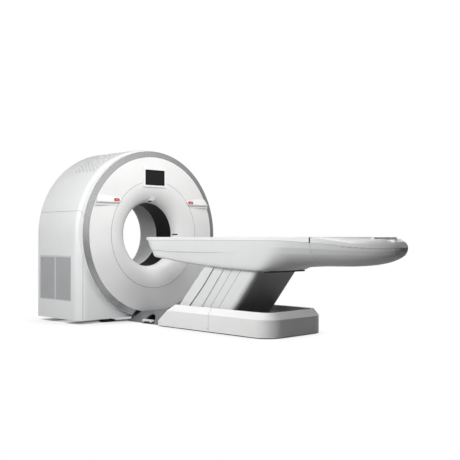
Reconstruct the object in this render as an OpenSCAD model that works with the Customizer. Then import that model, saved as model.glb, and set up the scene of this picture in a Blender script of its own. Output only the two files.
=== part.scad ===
// CT scanner: a doughnut gantry with its rotating X-ray drum, and a patient table
// on a leaning column that lifts like a parallelogram.
// Millimetres. Z is up, X = 0 is the plane of symmetry, +Y points into the gantry and the
// table lies towards -Y. The origin is on the floor, midway between the gantry's four anchors.

/* [Gantry] */
// Width over the side covers
gantry_w = 1864; // [1840:4:1920]
// From the anchors' centre to the front flange of the shell
shell_front = 400; // [390:5:420]
// From the anchors' centre to the back of the shell
shell_back = 435; // [425:5:500]
// How much lower the bore axis lies than half the gantry's width
axis_drop = 6; // [0:1:12]
// Thickness of the moulded covers
cover_wall = 4; // [3:0.5:5]
// Rounding of the shell's front edge
front_round = 100; // [80:5:110]
// Rounding of the shell's back edge
back_round = 60; // [40:5:80]
// Gap between the covers and the floor
floor_gap = 40; // [30:2:45]
// Height of the seam between the top shell and the side covers, above the bore axis
side_seam_up = 240; // [214:2:274]
// Gap at the seams between covers
seam = 0.8; // [0.5:0.1:0.9]

/* [Front face and bore] */
// Radius of the bore's throat
throat_r = 350; // [340:2:354]
// Radius of the seam round the funnel
lip_r = 584; // [570:2:600]
// Depth from the front of the funnel to its throat
lip_depth = 141; // [125:1:160]
// Length of the dark scan window
window_len = 273; // [240:1:290]
// Bore radius where the back funnel starts to flare
back_bore_r = 413; // [405:1:425]
// How far the metal trim ring lies inside the shell's outside
ring_inset = 20; // [16:2:32]
// Width of the metal trim ring
trim_w = 66; // [56:2:76]
// From the anchors' centre to the front cover's rim
disc_front = 450; // [445:1:460]
// How far the funnel's lip stands in front of that rim
lip_proud = 18; // [12:1:22]
// How far the trim ring slopes back over its width
ring_slope = 16.5; // [10:0.5:20]
// Height of the seam between the upper and lower front cover, above the bore axis
panel_seam_up = 303; // [289:1:314]
// Height of the sloped ledge's lip above the bore axis
ledge_lip_up = 336; // [324:1:349]
// Height above the bore axis at which the ledge's slope starts
ledge_top_up = 406; // [389:1:424]
// How far the ledge's lip stands in front of the cover's rim
ledge_proud = 30; // [24:1:36]

/* [Screen and buttons] */
// Width of the screen
screen_w = 270; // [240:2:300]
// Height of the screen
screen_h = 168; // [150:2:180]
// Height of the screen's centre above the bore axis
screen_up = 621; // [614:1:630]
// Width of the white border round the screen
screen_border = 30; // [20:1:34]
// Width of an emergency stop button
estop_w = 66; // [50:1:70]
// Height of an emergency stop button
estop_h = 30; // [24:1:34]
// Travel of an emergency stop button
estop_travel = 4; // [3:0.5:5]
// Distance of a button's centre from the plane of symmetry
estop_x = 518; // [512:1:540]

/* [Vents and grilles] */
// Length of the side grille, along the gantry's depth
grille_l = 610; // [560:10:640]
// Height of the side grille
grille_h = 470; // [420:10:500]
// Height of the side grille's lower edge
grille_z = 232; // [210:2:260]
// Spacing of the grille's holes
grille_pitch = 29; // [26:1:36]
// Radius of a grille hole
grille_hole_r = 7.5; // [5:0.5:9]
// Length of a slot in the top vent
slot_l = 30; // [24:1:36]
// Width of a slot in the top vent
slot_w = 9; // [7:0.5:12]
// Angle between rows of slots
slot_step = 2.9; // [2.7:0.1:3.2]

/* [Rotor] */
// Distance from the rotating drum to the shell's outside
drum_gap = 152; // [146:1:172]
// Width of the drum
drum_w = 190; // [150:5:200]
// Bore radius of the main bearing
bearing_r = 470; // [465:1:480]
// Radial width of each bearing ring
race_w = 45; // [40:1:50]
// Length of the bearing
bearing_l = 60; // [50:1:65]
// Radius of the drive pulley
pulley_r = 50; // [40:1:60]
// Distance from the drum's rim to the drive pulley's axis
pulley_gap = 100; // [92:1:110]
// Radius of the X-ray tube housing
tube_r = 100; // [90:1:110]
// Distance from the main bearing's bore to the X-ray tube's axis
tube_out = 120; // [110:1:130]

/* [Anchors] */
// Spacing of the gantry's anchor holes across its width
anchor_x = 1120; // [1110:2:1140]
// Spacing of the gantry's anchor holes along its depth
anchor_y = 620; // [600:2:640]
// Radius of every anchor hole
anchor_r = 9; // [8:0.5:11]
// Spacing of the table's anchor holes across its width
table_anchor_x = 640; // [620:2:650]
// Spacing of the table's anchor holes along its length
table_anchor_y = 1180; // [1160:5:1200]

/* [Table base] */
// Half width of the table's base
base_w = 400; // [390:2:420]
// Height of the base's rim
base_h = 225; // [215:1:235]
// Y of the base's far end
base_end = -2520; // [-2560:5:-2500]
// Y of the base's end next to the gantry
base_nose = -990; // [-1000:2:-980]
// Plan radius of the base's corners at its far end
base_corner = 170; // [150:2:190]
// Plan radius of the base's corners at its nose
nose_corner = 30; // [20:2:50]
// Width of the sloping rim
rim_slope_w = 45; // [35:1:55]
// Height of the sloping rim
rim_slope_h = 60; // [50:1:70]
// Height of the nose where its slope starts
nose_h = 38; // [30:1:50]
// Length of the nose's slope
nose_l = 232; // [220:1:245]
// Y of the seam across the base cover
base_seam = -1750; // [-1800:5:-1700]

/* [Lift] */
// Lean of the links from the vertical at rest
link_lean = 39; // [38:0.5:40]
// Height of the lower pivots
pivot_h = 120; // [116:1:124]
// Y of the front link's lower pivot
front_pivot = -1273; // [-1276:1:-1270]
// Distance from the front link's pivot to the rear link's pivot
link_span = 530; // [524:1:536]
// Radius of the link's pins
pin_r = 20; // [16:1:22]
// Radius of the pins that carry the sliding side panels
slat_pin_r = 6; // [5:0.5:7]
// Running clearance round a pin
pin_fit = 0.06; // [0.03:0.01:0.1]
// Half width of the column
column_w = 285; // [283:1:290]
// Thickness of the column's panels
panel_t = 4; // [3:0.5:4]
// Clearance between the column's panels
panel_gap = 2; // [1.5:0.5:2.5]

/* [Table top] */
// How far the table top's rim lies below the bore axis
table_drop = 29; // [22:1:40]
// Height of the table top's rim above the lift's upper pivots
top_rise = 236.88; // [230:0.01:240]
// Half width of the table top
top_w = 330; // [322:1:340]
// Y of the table top's front end
top_front = -635; // [-650:1:-630]
// Y of the seam across the table top
top_seam = -2910; // [-2930:5:-2900]
// Y of the foot end's tip
top_end = -3640; // [-3680:5:-3620]
// Height of the band between the rim and the hull
rim_band = 32; // [28:1:36]
// Half width of the cradle
cradle_w = 214; // [205:1:217]
// Length of the cradle
cradle_l = 2240; // [2200:5:2250]
// Thickness of the cradle in the middle
cradle_t = 18; // [14:1:22]
// Depth of the cradle's hollow
cradle_dip = 24; // [18:1:28]

/* [Foot pedals] */
// Length of a foot pedal's bar
pedal_l = 150; // [130:2:160]
// Distance of the pedal's pivot from the plane of symmetry
pedal_x = 352; // [348:1:356]
// Height of the bridge at the table's end
bridge_h = 160; // [150:1:170]

/* [Hidden] */
$fn = 96;

// Derived places of the gantry
shell_r = gantry_w / 2;
far = 2 * gantry_w;
iso_h = shell_r - axis_drop;
ring_r = shell_r - ring_inset;
disc_r = ring_r - trim_w;
side_seam_h = iso_h + side_seam_up;
panel_seam_h = iso_h + panel_seam_up;
ledge_lip_h = iso_h + ledge_lip_up;
ledge_top_h = iso_h + ledge_top_up;
screen_z = iso_h + screen_up;
disc_y = -disc_front;
lip_y = disc_y - lip_proud;
throat_y = lip_y + lip_depth;
window_y = throat_y + window_len;
window_r = throat_r + cover_wall + 0.3;
window_t = 3;
fit_gap = 0.3;
grille_y = -250;
face_foot = floor_gap / 2;
trim_t = 3.5;
rim_t = 14;
rim_depth = 55;
door_r = shell_r - back_round - 52;
back_bore_y = 281;
flare_step = 12;
flare_slope = atan((back_bore_r - window_r - flare_step) / (back_bore_y - window_y - 10));
flare_r = (shell_back - back_bore_y) / (1 - sin(flare_slope));
flare_end_r = back_bore_r + flare_r * cos(flare_slope);
funnel_steps = 18;
// The hood over the top laser, measured from the throat towards the front
hood_w = 64;
hood_front = 125;
hood_mid = 103;
hood_back = 82;
hood_drop = 22;
face_fn = 180;

// Derived places of the ledges
ledge_lip_y = disc_y - ledge_proud;
ledge_top_y = disc_y - 8;
ledge_nose = 8;
ledge_tilt = atan((ledge_top_y - ledge_lip_y) / (ledge_top_h - ledge_lip_h - ledge_nose));
estop_z = ledge_lip_h + ledge_nose + estop_h / 2 + 3;
stop_pocket = 10;
stop_block = 16;
stop_fit = 0.7;
stop_round = 6;
stop_stem_r = 6;

// Derived places of the screen
screen_face = lip_y - 2;
screen_sink = 2;
screen_t = 4;
bezel_t = 30;
bezel_slope_h = 12;
bezel_slope_y = 9;

// Derived places of the rotor and its frame
drum_r = shell_r - drum_gap;
pulley_dist = drum_r + pulley_gap;
tube_dist = bearing_r + tube_out;
drum_t = 30;
drum_back = 90;
drum_rim_t = 14;
drum_hub_l = 30;
bearing_y = drum_back + drum_hub_l;
stator_y = bearing_y + bearing_l;
stator_t = 40;
stator_r = bearing_r + 2 * race_w + 80;
stator_hole_r = bearing_r + race_w + 5;
slip_y = stator_y + stator_t + 20;
slip_r = bearing_r + 130;
slip_t = 22;
rotor_front = -240;
drum_front = drum_back - drum_w;
drum_face = drum_back - drum_t;
drive_angle = 225;
belt_y = 50;
belt_w = 30;
belt_t = 4;
pulley_x = pulley_dist * cos(drive_angle);
pulley_z = iso_h + pulley_dist * sin(drive_angle);
motor_r = 75;
motor_l = 200;
motor_y = 110;
shaft_r = 12;
rail_x = 440;
rail_w = 80;
rail_top = 120;
rail_l = 700;
outrigger_y = 140;
outrigger_w = 60;
foot_t = 20;
foot_w = 90;
foot_in = 40;

// Derived places of the lift
table_mid = (base_nose + base_end) / 2;
rear_pivot = front_pivot - link_span;
top_h = iso_h - table_drop;
link_l = (top_h - top_rise - pivot_h) / cos(link_lean);
rise = link_l * cos(link_lean);
run = link_l * sin(link_lean);
// Distances from the front pivot to the pivots of the three side panels
slat_at = [115, 248, 369];
// Edges of the side panels, measured across the links from their own pivots
slat_edge = [[-49, 119], [-54, 62], [-64, 59]];
// Layers of the side panels, counted inwards from the column's outer faces
slat_layer = [1, 2, 1];
layer_step = panel_t + panel_gap;
arm_x = 225;
arm_t = 18;
arm_w = 60;
ear_x = 205;
ear_t = 15;
open_fit = 0.3;
base_plate_t = 12;
base_pad_t = 6;
base_plate_top = base_pad_t + base_plate_t;
base_rim_flat = 25;
base_open_front = base_nose - 176;
base_open_t = 40;
base_open_w = base_w - rim_slope_w - base_rim_flat;
base_open_end = base_end + rim_slope_w + base_rim_flat;
// Faces of the covers, measured across the links from their own pivots, and the front one's tilt
front_edge_v = 133;
front_panel_w = 180;
front_tilt = 3.9;
// The front cover's slanting back edge: where it starts, and where it turns along the links
slant_low_v = 6;
slant_high_v = -33;
slant_end_u = 420;
cover_top_gap = 45;
bracket_u = 150;
bracket_h = 30;
column_round = 40;
rear_round = 60;
cover_foot = 30;
rear_face_v = -82;
rear_edge_v = 91;

// Derived places of the table top
frame_z = top_h - 157;
frame_h = 40;
frame_x = 200;
frame_w = 60;
cross_y = [top_front - 365, top_seam + 460];
rail_h = 20;
cradle_rail_x = 130;
cradle_rail_w = 30;
band_z = top_h - rim_band;
cradle_top = top_h - 4;
carriage_l = 400;
hull_wall = 5;
rim_inner = cradle_w + 10;
rim_t2 = 5;
rake = 33;
front_corner = 150;
skirt_end = rear_pivot - 527;
skirt_front = front_pivot - 152;
tail_start = 260;
levels = 14;
deck_levels = 10;
deck_t = 4;
cradle_low = cradle_top - cradle_dip - cradle_t;
// The hollow in the foot-end deck and the bar across it
grip_half = 178;
grip_y = top_end + 205;
scoop_end = top_end + 50;
scoop_start = top_end + 400;
scoop_depth = 56;
scoop_share = 0.8;
skirt_w = column_w + 12;

// Derived places of the bridge
bridge_front = -500;
bridge_front_h = 105;
bridge_top_w = 215;
bridge_foot_w = 355;
sheet_t = 3;
pedal_y = -785;
pedal_pivot_x = pedal_x - 34;
pedal_pivot_z = 32;
pedal_pin_r = 5;
rail_in = 292;
pedal_foot_t = 8;
rib_x = 150;
bar_w = 40;
bar_t = 12;

// Derived places of the table base's covers
cover_low = 8;
base_inset = cover_wall + fit_gap;

// Shared shapes

module both() {
    children();
    mirror([1, 0, 0]) children();
}

// Children drawn as (radius, Y) turn about the bore axis
module bore_axis() translate([0, 0, iso_h]) rotate([-90, 0, 0]) children();

module revolve() bore_axis() rotate_extrude($fn = face_fn) children();

// A ring about the bore axis
module bore_ring(r0, r1, y0, y1) revolve() translate([r0, y0]) square([r1 - r0, y1 - y0]);

// Part of such a ring between two angles, counted up from +X
module arc_block(a0, a1, r0, r1, y0, y1)
    bore_axis() rotate([0, 0, -a1]) rotate_extrude(angle = a1 - a0, $fn = face_fn)
        translate([r0, y0]) square([r1 - r0, y1 - y0]);

// Children drawn as (X, Z), standing from y0 towards +Y
module upright(y0, t) translate([0, y0 + t, 0]) rotate([90, 0, 0]) linear_extrude(t) children();

// Children drawn as (Y, Z), reaching from x0 towards +X
module side_slab(x0, t) translate([x0, 0, 0]) rotate([90, 0, 90]) linear_extrude(t) children();

module box(x0, x1, y0, y1, z0, z1) translate([x0, y0, z0]) cube([x1 - x0, y1 - y0, z1 - z0]);

// A box tube along Y, or along X
module tube_y(x0, x1, y0, y1, z0, z1, wall = 6)
    difference() {
        box(x0, x1, y0, y1, z0, z1);
        box(x0 + wall, x1 - wall, y0 - 1, y1 + 1, z0 + wall, z1 - wall);
    }

module tube_x(x0, x1, y0, y1, z0, z1, wall = 6)
    difference() {
        box(x0, x1, y0, y1, z0, z1);
        box(x0 - 1, x1 + 1, y0 + wall, y1 - wall, z0 + wall, z1 - wall);
    }

module soft_square(w, h, r) {
    square([w - 2 * r, h], center = true);
    square([w, h - 2 * r], center = true);
    for (x = [-1, 1], y = [-1, 1]) translate([x * (w / 2 - r), y * (h / 2 - r)]) circle(r);
}

module soft_plan(w, y0, y1, r) translate([0, (y0 + y1) / 2]) soft_square(2 * w, y1 - y0, r);

// Gantry: frame, bearing and rotor

module gantry_base_frame() color("dimgray") {
    half = rail_l / 2;
    both() {
        tube_y(rail_x, rail_x + rail_w, -half, half, floor_gap, rail_top);
        for (y = [outrigger_y, -outrigger_y - outrigger_w])
            tube_x(rail_x + rail_w, shell_r - cover_wall - fit_gap, y, y + outrigger_w,
                floor_gap, rail_top);
    }
    for (y = [-half + 20, outrigger_y + 30, half - 80])
        tube_x(-rail_x, rail_x, y, y + 60, floor_gap, rail_top);
}

module foot_pad(x, y) {
    stud_x = rail_x + rail_w / 2;
    difference() {
        translate([(rail_x + x + foot_in) / 2, y, 0])
            linear_extrude(foot_t) soft_square(x + foot_in - rail_x, foot_w, 20);
        translate([x, y, -1]) cylinder(r = anchor_r, h = foot_t + 2);
    }
    translate([stud_x, y, foot_t]) cylinder(r = 14, h = floor_gap - foot_t);
}

module table_pad(x, y) difference() {
    translate([x, y, 0]) cylinder(r = 36, h = base_pad_t);
    translate([x, y, -1]) cylinder(r = anchor_r, h = base_pad_t + 2);
}

module anchor_feet() color("black") {
    both() for (y = [-1, 1]) foot_pad(anchor_x / 2, y * anchor_y / 2);
    both() for (y = [-1, 1]) table_pad(table_anchor_x / 2, table_mid + y * table_anchor_y / 2);
}

module stator_frame() color("slategray") {
    leg_w = 240;
    leg_x = rail_x + rail_w + 10;
    difference() {
        upright(stator_y, stator_t) {
            translate([0, iso_h]) circle(stator_r, $fn = face_fn);
            for (x = [-leg_x, leg_x - leg_w])
                translate([x, rail_top]) square([leg_w, iso_h - rail_top]);
        }
        bore_ring(0, stator_hole_r, stator_y - 1, stator_y + stator_t + 1);
    }
    both() {
        box(leg_x - leg_w, leg_x, stator_y + stator_t, stator_y + stator_t + 80, rail_top,
            rail_top + 20);
        side_slab(leg_x - leg_w / 2 - 10, 20)
            polygon([[stator_y + stator_t, rail_top + 20],
                [stator_y + stator_t + 80, rail_top + 20], [stator_y + stator_t, 480]]);
    }
}

module bearing_outer_ring() color("silver")
    bore_ring(bearing_r + race_w + fit_gap / 2, bearing_r + 2 * race_w, bearing_y, stator_y);

module bearing_inner_ring() color("gainsboro")
    bore_ring(bearing_r, bearing_r + race_w - fit_gap / 2, bearing_y, stator_y);

module rotor_drum() color("lightsteelblue") {
    window_a = [10, 62, 118, 145, 208, 332];
    difference() {
        union() {
            bore_ring(bearing_r - 30, drum_r, drum_face, drum_back);
            bore_ring(drum_r - drum_rim_t, drum_r, drum_front, drum_back);
        }
        bore_axis() for (a = window_a) rotate([0, 0, -a])
            translate([drum_r - 90, 0, drum_face - 1]) cylinder(r = 42, h = drum_t + 2);
    }
    bore_ring(bearing_r, bearing_r + race_w - 5, drum_back, bearing_y);
}

module xray_tube() color("goldenrod") {
    translate([0, rotor_front, iso_h + tube_dist]) rotate([-90, 0, 0]) {
        cylinder(r = tube_r, h = drum_face - rotor_front);
        translate([0, 0, -14]) cylinder(r = tube_r - 18, h = 14);
    }
    for (y = [rotor_front + 60, drum_face - 70])
        translate([0, y, iso_h + tube_dist + tube_r - 6]) cylinder(r = 24, h = 56);
}

module collimator() color("dimgray") {
    top = iso_h + tube_dist - tube_r - 4;
    difference() {
        box(-110, 110, rotor_front + 40, drum_face, top - 34, top);
        box(-80, 80, -90, -60, top - 35, top + 1);
    }
}

module detector_arc() color("darkslateblue") {
    arc_block(237, 303, bearing_r + 4, bearing_r + 110, rotor_front + 60, drum_face);
    for (a = [239:4:301])
        arc_block(a - 0.6, a + 0.6, bearing_r + 106, bearing_r + 146, rotor_front + 70, drum_face - 6);
}

module hv_generator() color("steelblue") {
    arc_block(157, 201, bearing_r + 14, drum_r - 44, rotor_front + 20, drum_face);
    for (a = [162:6:196])
        arc_block(a - 1, a + 1, drum_r - 48, drum_r - 24, rotor_front + 40, drum_face - 20);
}

module heat_exchanger() color("lightgray") {
    mid = (bearing_r + drum_r) / 2;
    difference() {
        arc_block(20, 52, bearing_r + 24, drum_r - 44, rotor_front + 40, drum_face);
        bore_axis() for (a = [29, 43]) rotate([0, 0, -a])
            translate([mid - 8, 0, rotor_front + 39]) cylinder(r = 62, h = 60);
    }
}

module counterweight() color("darkgray")
    for (a = [214, 304]) arc_block(a, a + 22, drum_r - 130, drum_r - 24, -60, drum_face);

module slip_ring() color("peru") {
    bore_ring(bearing_r, bearing_r + 30, stator_y, slip_y);
    difference() {
        bore_ring(bearing_r, slip_r, slip_y, slip_y + slip_t);
        for (r = [bearing_r + 45:26:slip_r - 20])
            bore_ring(r, r + 6, slip_y + slip_t - 5, slip_y + slip_t + 1);
    }
}

module brush_block() color("dimgray") {
    z0 = iso_h - 55;
    box(slip_r - 80, slip_r + 40, slip_y + slip_t + fit_gap, slip_y + slip_t + 48, z0, iso_h + 55);
    box(slip_r + 6, slip_r + 40, stator_y + stator_t, slip_y + slip_t + fit_gap, z0, iso_h + 55);
}

module drive_motor() color("dimgray") {
    mount_w = 56;
    translate([pulley_x, motor_y, pulley_z]) rotate([-90, 0, 0]) difference() {
        union() {
            cylinder(r = motor_r, h = motor_l);
            for (a = [0:30:330]) rotate([0, 0, a])
                translate([motor_r - 2, -2, 20]) cube([10, 4, motor_l - 50]);
        }
        translate([0, 0, -1]) cylinder(r = shaft_r + pin_fit, h = 90);
    }
    box(pulley_x - mount_w / 2, pulley_x + mount_w / 2, outrigger_y, outrigger_y + outrigger_w,
        rail_top, pulley_z - motor_r + 8);
}

module drive_pulley() color("silver")
    translate([pulley_x, belt_y - 5, pulley_z]) rotate([-90, 0, 0]) {
        cylinder(r = pulley_r, h = belt_w + 10);
        cylinder(r = pulley_r + 6, h = 4);
        translate([0, 0, belt_w + 6]) cylinder(r = pulley_r + 6, h = 4);
        cylinder(r = shaft_r, h = motor_y - belt_y + 85);
    }

// The closed line of a belt round two wheels, drawn with the large wheel at the origin
module belt_loop(grow) {
    lean = acos((drum_r - pulley_r) / pulley_dist);
    big = drum_r + grow;
    small = pulley_r + grow;
    circle(big, $fn = face_fn);
    translate([pulley_dist, 0]) circle(small);
    polygon([
        [big * cos(lean), big * sin(lean)],
        [pulley_dist + small * cos(lean), small * sin(lean)],
        [pulley_dist + small * cos(lean), -small * sin(lean)],
        [big * cos(lean), -big * sin(lean)]
    ]);
}

module drive_belt() color("black")
    bore_axis() rotate([0, 0, -drive_angle]) translate([0, 0, belt_y]) linear_extrude(belt_w)
        difference() {
            belt_loop(fit_gap + belt_t);
            belt_loop(fit_gap);
        }

module power_cabinet() color("lightgray") {
    x0 = rail_x + rail_w + 90;
    x1 = shell_r - 70;
    difference() {
        box(x0, x1, outrigger_y - 10, shell_back - 35, rail_top, 560);
        for (z = [200:40:480]) box(x1 - 6, x1 + 1, outrigger_y + 30, shell_back - 75, z, z + 14);
    }
}

// Gantry: covers

// The shell's section in the front quarter, filled, with its two rounded edges
module soft_block(x0, x1, y0, y1, rf, rb) {
    mid = (y0 + y1) / 2;
    translate([x0, y0]) square([x1 - rf - x0, mid - y0]);
    translate([x0, mid]) square([x1 - rb - x0, y1 - mid]);
    translate([x0, y0 + rf]) square([x1 - x0, y1 - rb - y0 - rf]);
    translate([x1 - rf, y0 + rf]) circle(rf);
    translate([x1 - rb, y1 - rb]) circle(rb);
}

module shell_section() {
    x0 = 150;
    w = cover_wall;
    difference() {
        soft_block(x0, shell_r, -shell_front, shell_back, front_round, back_round);
        soft_block(x0 - 1, shell_r - w, w - shell_front, shell_back - w, front_round - w,
            back_round - w);
    }
}

// The outline of the back door, a round arch on straight sides
module arch(r, z0) {
    translate([0, iso_h]) circle(r, $fn = face_fn);
    translate([-r, z0]) square([2 * r, iso_h - z0]);
}

module shell_body() difference() {
    union() {
        intersection() {
            revolve() shell_section();
            box(-far, far, -far, far, iso_h, iso_h + far);
        }
        both() translate([0, 0, floor_gap]) linear_extrude(iso_h - floor_gap) shell_section();
    }
    bore_ring(0, ring_r + 0.5, -shell_front - 1, -shell_front + rim_depth);
    upright(shell_back - 2 * cover_wall, 2 * cover_wall + 1) arch(door_r, floor_gap - 1);
}

module top_shell() color("whitesmoke") difference() {
    intersection() {
        shell_body();
        box(-far, far, -far, far, side_seam_h + seam / 2, iso_h + far);
    }
    rows = 15;
    columns = 11;
    vent_y = -245;
    column_step = 34;
    bore_axis() for (i = [-rows:rows], j = [0:columns])
        rotate([0, 0, -90 + (i + (j % 2) / 2) * slot_step])
            translate([shell_r - 2, 0, vent_y + j * column_step])
                cube([20, slot_l, slot_w], center = true);
}

module side_cover() difference() {
    intersection() {
        shell_body();
        box(0, far, -far, far, 0, side_seam_h - seam / 2);
    }
    box(shell_r - 20, shell_r + 20, grille_y, grille_y + grille_l, grille_z, grille_z + grille_h);
}

module side_cover_left() color("white") mirror([1, 0, 0]) side_cover();
module side_cover_right() color("white") side_cover();

module side_grille() {
    t = cover_wall - 1;
    edge = 20;
    divider = 36;
    split = grille_l * 0.5;
    row_step = grille_pitch * 0.8;
    rows = floor((grille_h - 2 * edge) / row_step);
    side_slab(shell_r - cover_wall, t) difference() {
        translate([grille_y + fit_gap, grille_z + fit_gap])
            square([grille_l - 2 * fit_gap, grille_h - 2 * fit_gap]);
        for (field = [[edge, split - divider / 2], [split + divider / 2, grille_l - edge]]) {
            columns = floor((field[1] - field[0]) / grille_pitch - 0.5);
            for (j = [0:rows], i = [0:columns])
                translate([
                    grille_y + field[0] + (i + 0.5 + (j % 2) / 2) * grille_pitch
                        - grille_pitch / 4,
                    grille_z + edge + (j + 0.3) * row_step
                ]) circle(grille_hole_r, $fn = 24);
        }
    }
}

module side_grille_left() color("silver") mirror([1, 0, 0]) side_grille();
module side_grille_right() color("silver") side_grille();

// Y of the trim ring's front face at a radius
function trim_y(r) = disc_y + ring_slope * (r - disc_r) / (ring_r - disc_r);

module above_floor() intersection() {
    children();
    box(-far, far, -far, far, face_foot, far);
}

module front_rim() color("white") above_floor() revolve() polygon([
    [ring_r - rim_t, trim_y(ring_r - rim_t) + trim_t],
    [ring_r, trim_y(ring_r) + trim_t],
    [ring_r, -shell_front + rim_depth],
    [ring_r - rim_t, -shell_front + rim_depth]
]);

module trim_ring() color("silver") above_floor() revolve() polygon([
    [disc_r, disc_y],
    [ring_r, trim_y(ring_r)],
    [ring_r, trim_y(ring_r) + trim_t],
    [disc_r, disc_y + trim_t]
]);

module screen_outline(grow) translate([0, screen_z])
    soft_square(screen_w + 2 * screen_border + 2 * grow, screen_h + 2 * screen_border + 2 * grow,
        10 + grow);

module front_disc() difference() {
    revolve() polygon([
        [lip_r + seam, lip_y],
        [disc_r - fit_gap, disc_y],
        [disc_r - fit_gap, disc_y + cover_wall],
        [lip_r + seam, lip_y + cover_wall]
    ]);
    upright(lip_y - 20, 60) screen_outline(0.5);
}

// The ledge's profile, seen along X
module ledge_profile(w) polygon([
    [disc_y + cover_wall + w, panel_seam_h + seam / 2 - w],
    [disc_y + cover_wall + w, ledge_top_h - 2 * w],
    [ledge_top_y + w, ledge_top_h - 2 * w],
    [ledge_lip_y + w, ledge_lip_h + ledge_nose],
    [ledge_lip_y + w, ledge_lip_h + w],
    [lip_y + 2 + w, ledge_lip_h - 16 + w],
    [lip_y + 2 + w, panel_seam_h + seam / 2 - w]
]);

// Places children on the ledge's slope at x and z: their Z points out of the slope
module on_ledge(x, z)
    translate([x, ledge_lip_y + (z - ledge_lip_h - ledge_nose) * tan(ledge_tilt), z])
        rotate([90 - ledge_tilt, 0, 0]) children();

module ledge() difference() {
    union() {
        intersection() {
            side_slab(lip_r * 0.6, disc_r) difference() {
                ledge_profile(0);
                ledge_profile(cover_wall);
            }
            bore_ring(lip_r + seam, disc_r - fit_gap, lip_y - 60, disc_y + 60);
        }
        intersection() {
            on_ledge(estop_x, estop_z) translate([0, 0, -stop_block])
                linear_extrude(stop_block - 1) soft_square(estop_w + 12, estop_h + 8,
                    stop_round + 2);
            side_slab(0, disc_r) ledge_profile(0);
        }
    }
    on_ledge(estop_x, estop_z) {
        translate([0, 0, -stop_pocket]) linear_extrude(stop_pocket + 12)
            soft_square(estop_w + 2 * stop_fit, estop_h + 2 * stop_fit, stop_round + stop_fit);
        translate([0, 0, -60]) cylinder(r = stop_stem_r + fit_gap, h = 61);
    }
}

module front_cover_upper() color("whitesmoke") {
    difference() {
        intersection() {
            front_disc();
            box(-far, far, -far, 0, panel_seam_h + seam / 2, far);
        }
        both() on_ledge(estop_x, estop_z) translate([0, 0, -60]) linear_extrude(80)
            soft_square(estop_w + 2 * stop_fit, estop_h + 2 * stop_fit, stop_round + stop_fit);
    }
    both() ledge();
}

module front_cover_lower() color("whitesmoke") intersection() {
    front_disc();
    box(-far, far, -far, 0, face_foot, panel_seam_h - seam / 2);
}

// The funnel's quarter-ellipse: front face, or its back face at a distance w
function funnel_point(t, w) = let(
    a = lip_r - throat_r,
    b = lip_depth,
    n = sqrt(pow(a * sin(t), 2) + pow(b * cos(t), 2))
) [
    throat_r + a * (1 - cos(t)) + w * b * cos(t) / n,
    throat_y - b * sin(t) + w * a * sin(t) / n
];

function funnel_curve(w) = [for (i = [0:funnel_steps]) funnel_point(90 * i / funnel_steps, w)];

function flip(list) = [for (i = [len(list) - 1:-1:0]) list[i]];

// Radius of the funnel's face at a distance in front of its throat
function funnel_r(d) = throat_r + (lip_r - throat_r) * (1 - sqrt(1 - pow(d / lip_depth, 2)));

module front_funnel() color("white") difference() {
    union() {
        revolve() polygon(concat(
            [[throat_r, throat_y + 8]],
            funnel_curve(0),
            flip(funnel_curve(cover_wall)),
            [[throat_r + cover_wall, throat_y + 8]]
        ));
        side_slab(-hood_w / 2, hood_w) polygon([
            [throat_y - hood_front, iso_h + funnel_r(hood_front) + 1],
            [throat_y - hood_back, iso_h + funnel_r(hood_back) - hood_drop],
            [throat_y - hood_back, iso_h + funnel_r(hood_back) + 1],
            [throat_y - hood_mid, iso_h + funnel_r(hood_mid) + 1]
        ]);
    }
    upright(lip_y - 20, 60) screen_outline(0.5);
    laser_slots(0.3);
}

// Outlines of the laser windows, cut through the funnel: one each side and one on top
module laser_slots(grow) {
    slot_y = throat_y - 46;
    both() translate([throat_r - 20, slot_y, iso_h]) rotate([0, 90, 0])
        linear_extrude(80) soft_square(14 + 2 * grow, 56 + 2 * grow, 6);
    translate([0, slot_y - 14, iso_h + throat_r - 20])
        linear_extrude(120) soft_square(44 + 2 * grow, 40 + 2 * grow, 8);
}

module laser_windows() color("black") intersection() {
    laser_slots(0);
    revolve() polygon(concat(funnel_curve(-0.8), flip(funnel_curve(cover_wall))));
}

module scan_window() color("black")
    bore_ring(window_r, window_r + window_t, throat_y + fit_gap, window_y);

module back_funnel() color("gainsboro") {
    w = cover_wall;
    collar = window_r + window_t + fit_gap;
    cr = back_bore_r + flare_r * cos(flare_slope);
    cy = back_bore_y - flare_r * sin(flare_slope);
    steps = 14;
    angles = [for (i = [0:steps]) flare_slope + (90 - flare_slope) * i / steps];
    revolve() polygon(concat(
        [[collar, window_y - 16], [collar, window_y + fit_gap], [window_r, window_y + fit_gap],
            [window_r + flare_step, window_y + 10]],
        [for (a = angles) [cr - flare_r * cos(a), cy + flare_r * sin(a)]],
        [for (a = flip(angles)) [cr - (flare_r - w) * cos(a), cy + (flare_r - w) * sin(a)]],
        [[window_r + flare_step + w, window_y + 9], [collar + w, window_y - 2],
            [collar + w, window_y - 16]]
    ));
}

module back_cover() color("white")
    upright(shell_back - cover_wall, cover_wall) difference() {
        arch(door_r - fit_gap, floor_gap);
        translate([0, iso_h]) circle(flare_end_r + seam, $fn = face_fn);
    }

module screen_bezel() color("white") difference() {
    low = screen_z - screen_h / 2 - screen_border;
    upright(screen_face, bezel_t) screen_outline(0);
    side_slab(-screen_w, 2 * screen_w) polygon([[screen_face - 1, low + bezel_slope_h],
        [screen_face - 1, low - 1], [screen_face + bezel_slope_y, low - 1],
        [screen_face, low + bezel_slope_h]]);
    upright(screen_face - 1, screen_sink + screen_t + 1) translate([0, screen_z])
        soft_square(screen_w, screen_h, 2);
    upright(screen_face + screen_sink + screen_t + 3, 40) translate([0, screen_z])
        soft_square(screen_w + screen_border, screen_h + screen_border, 6);
}

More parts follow.
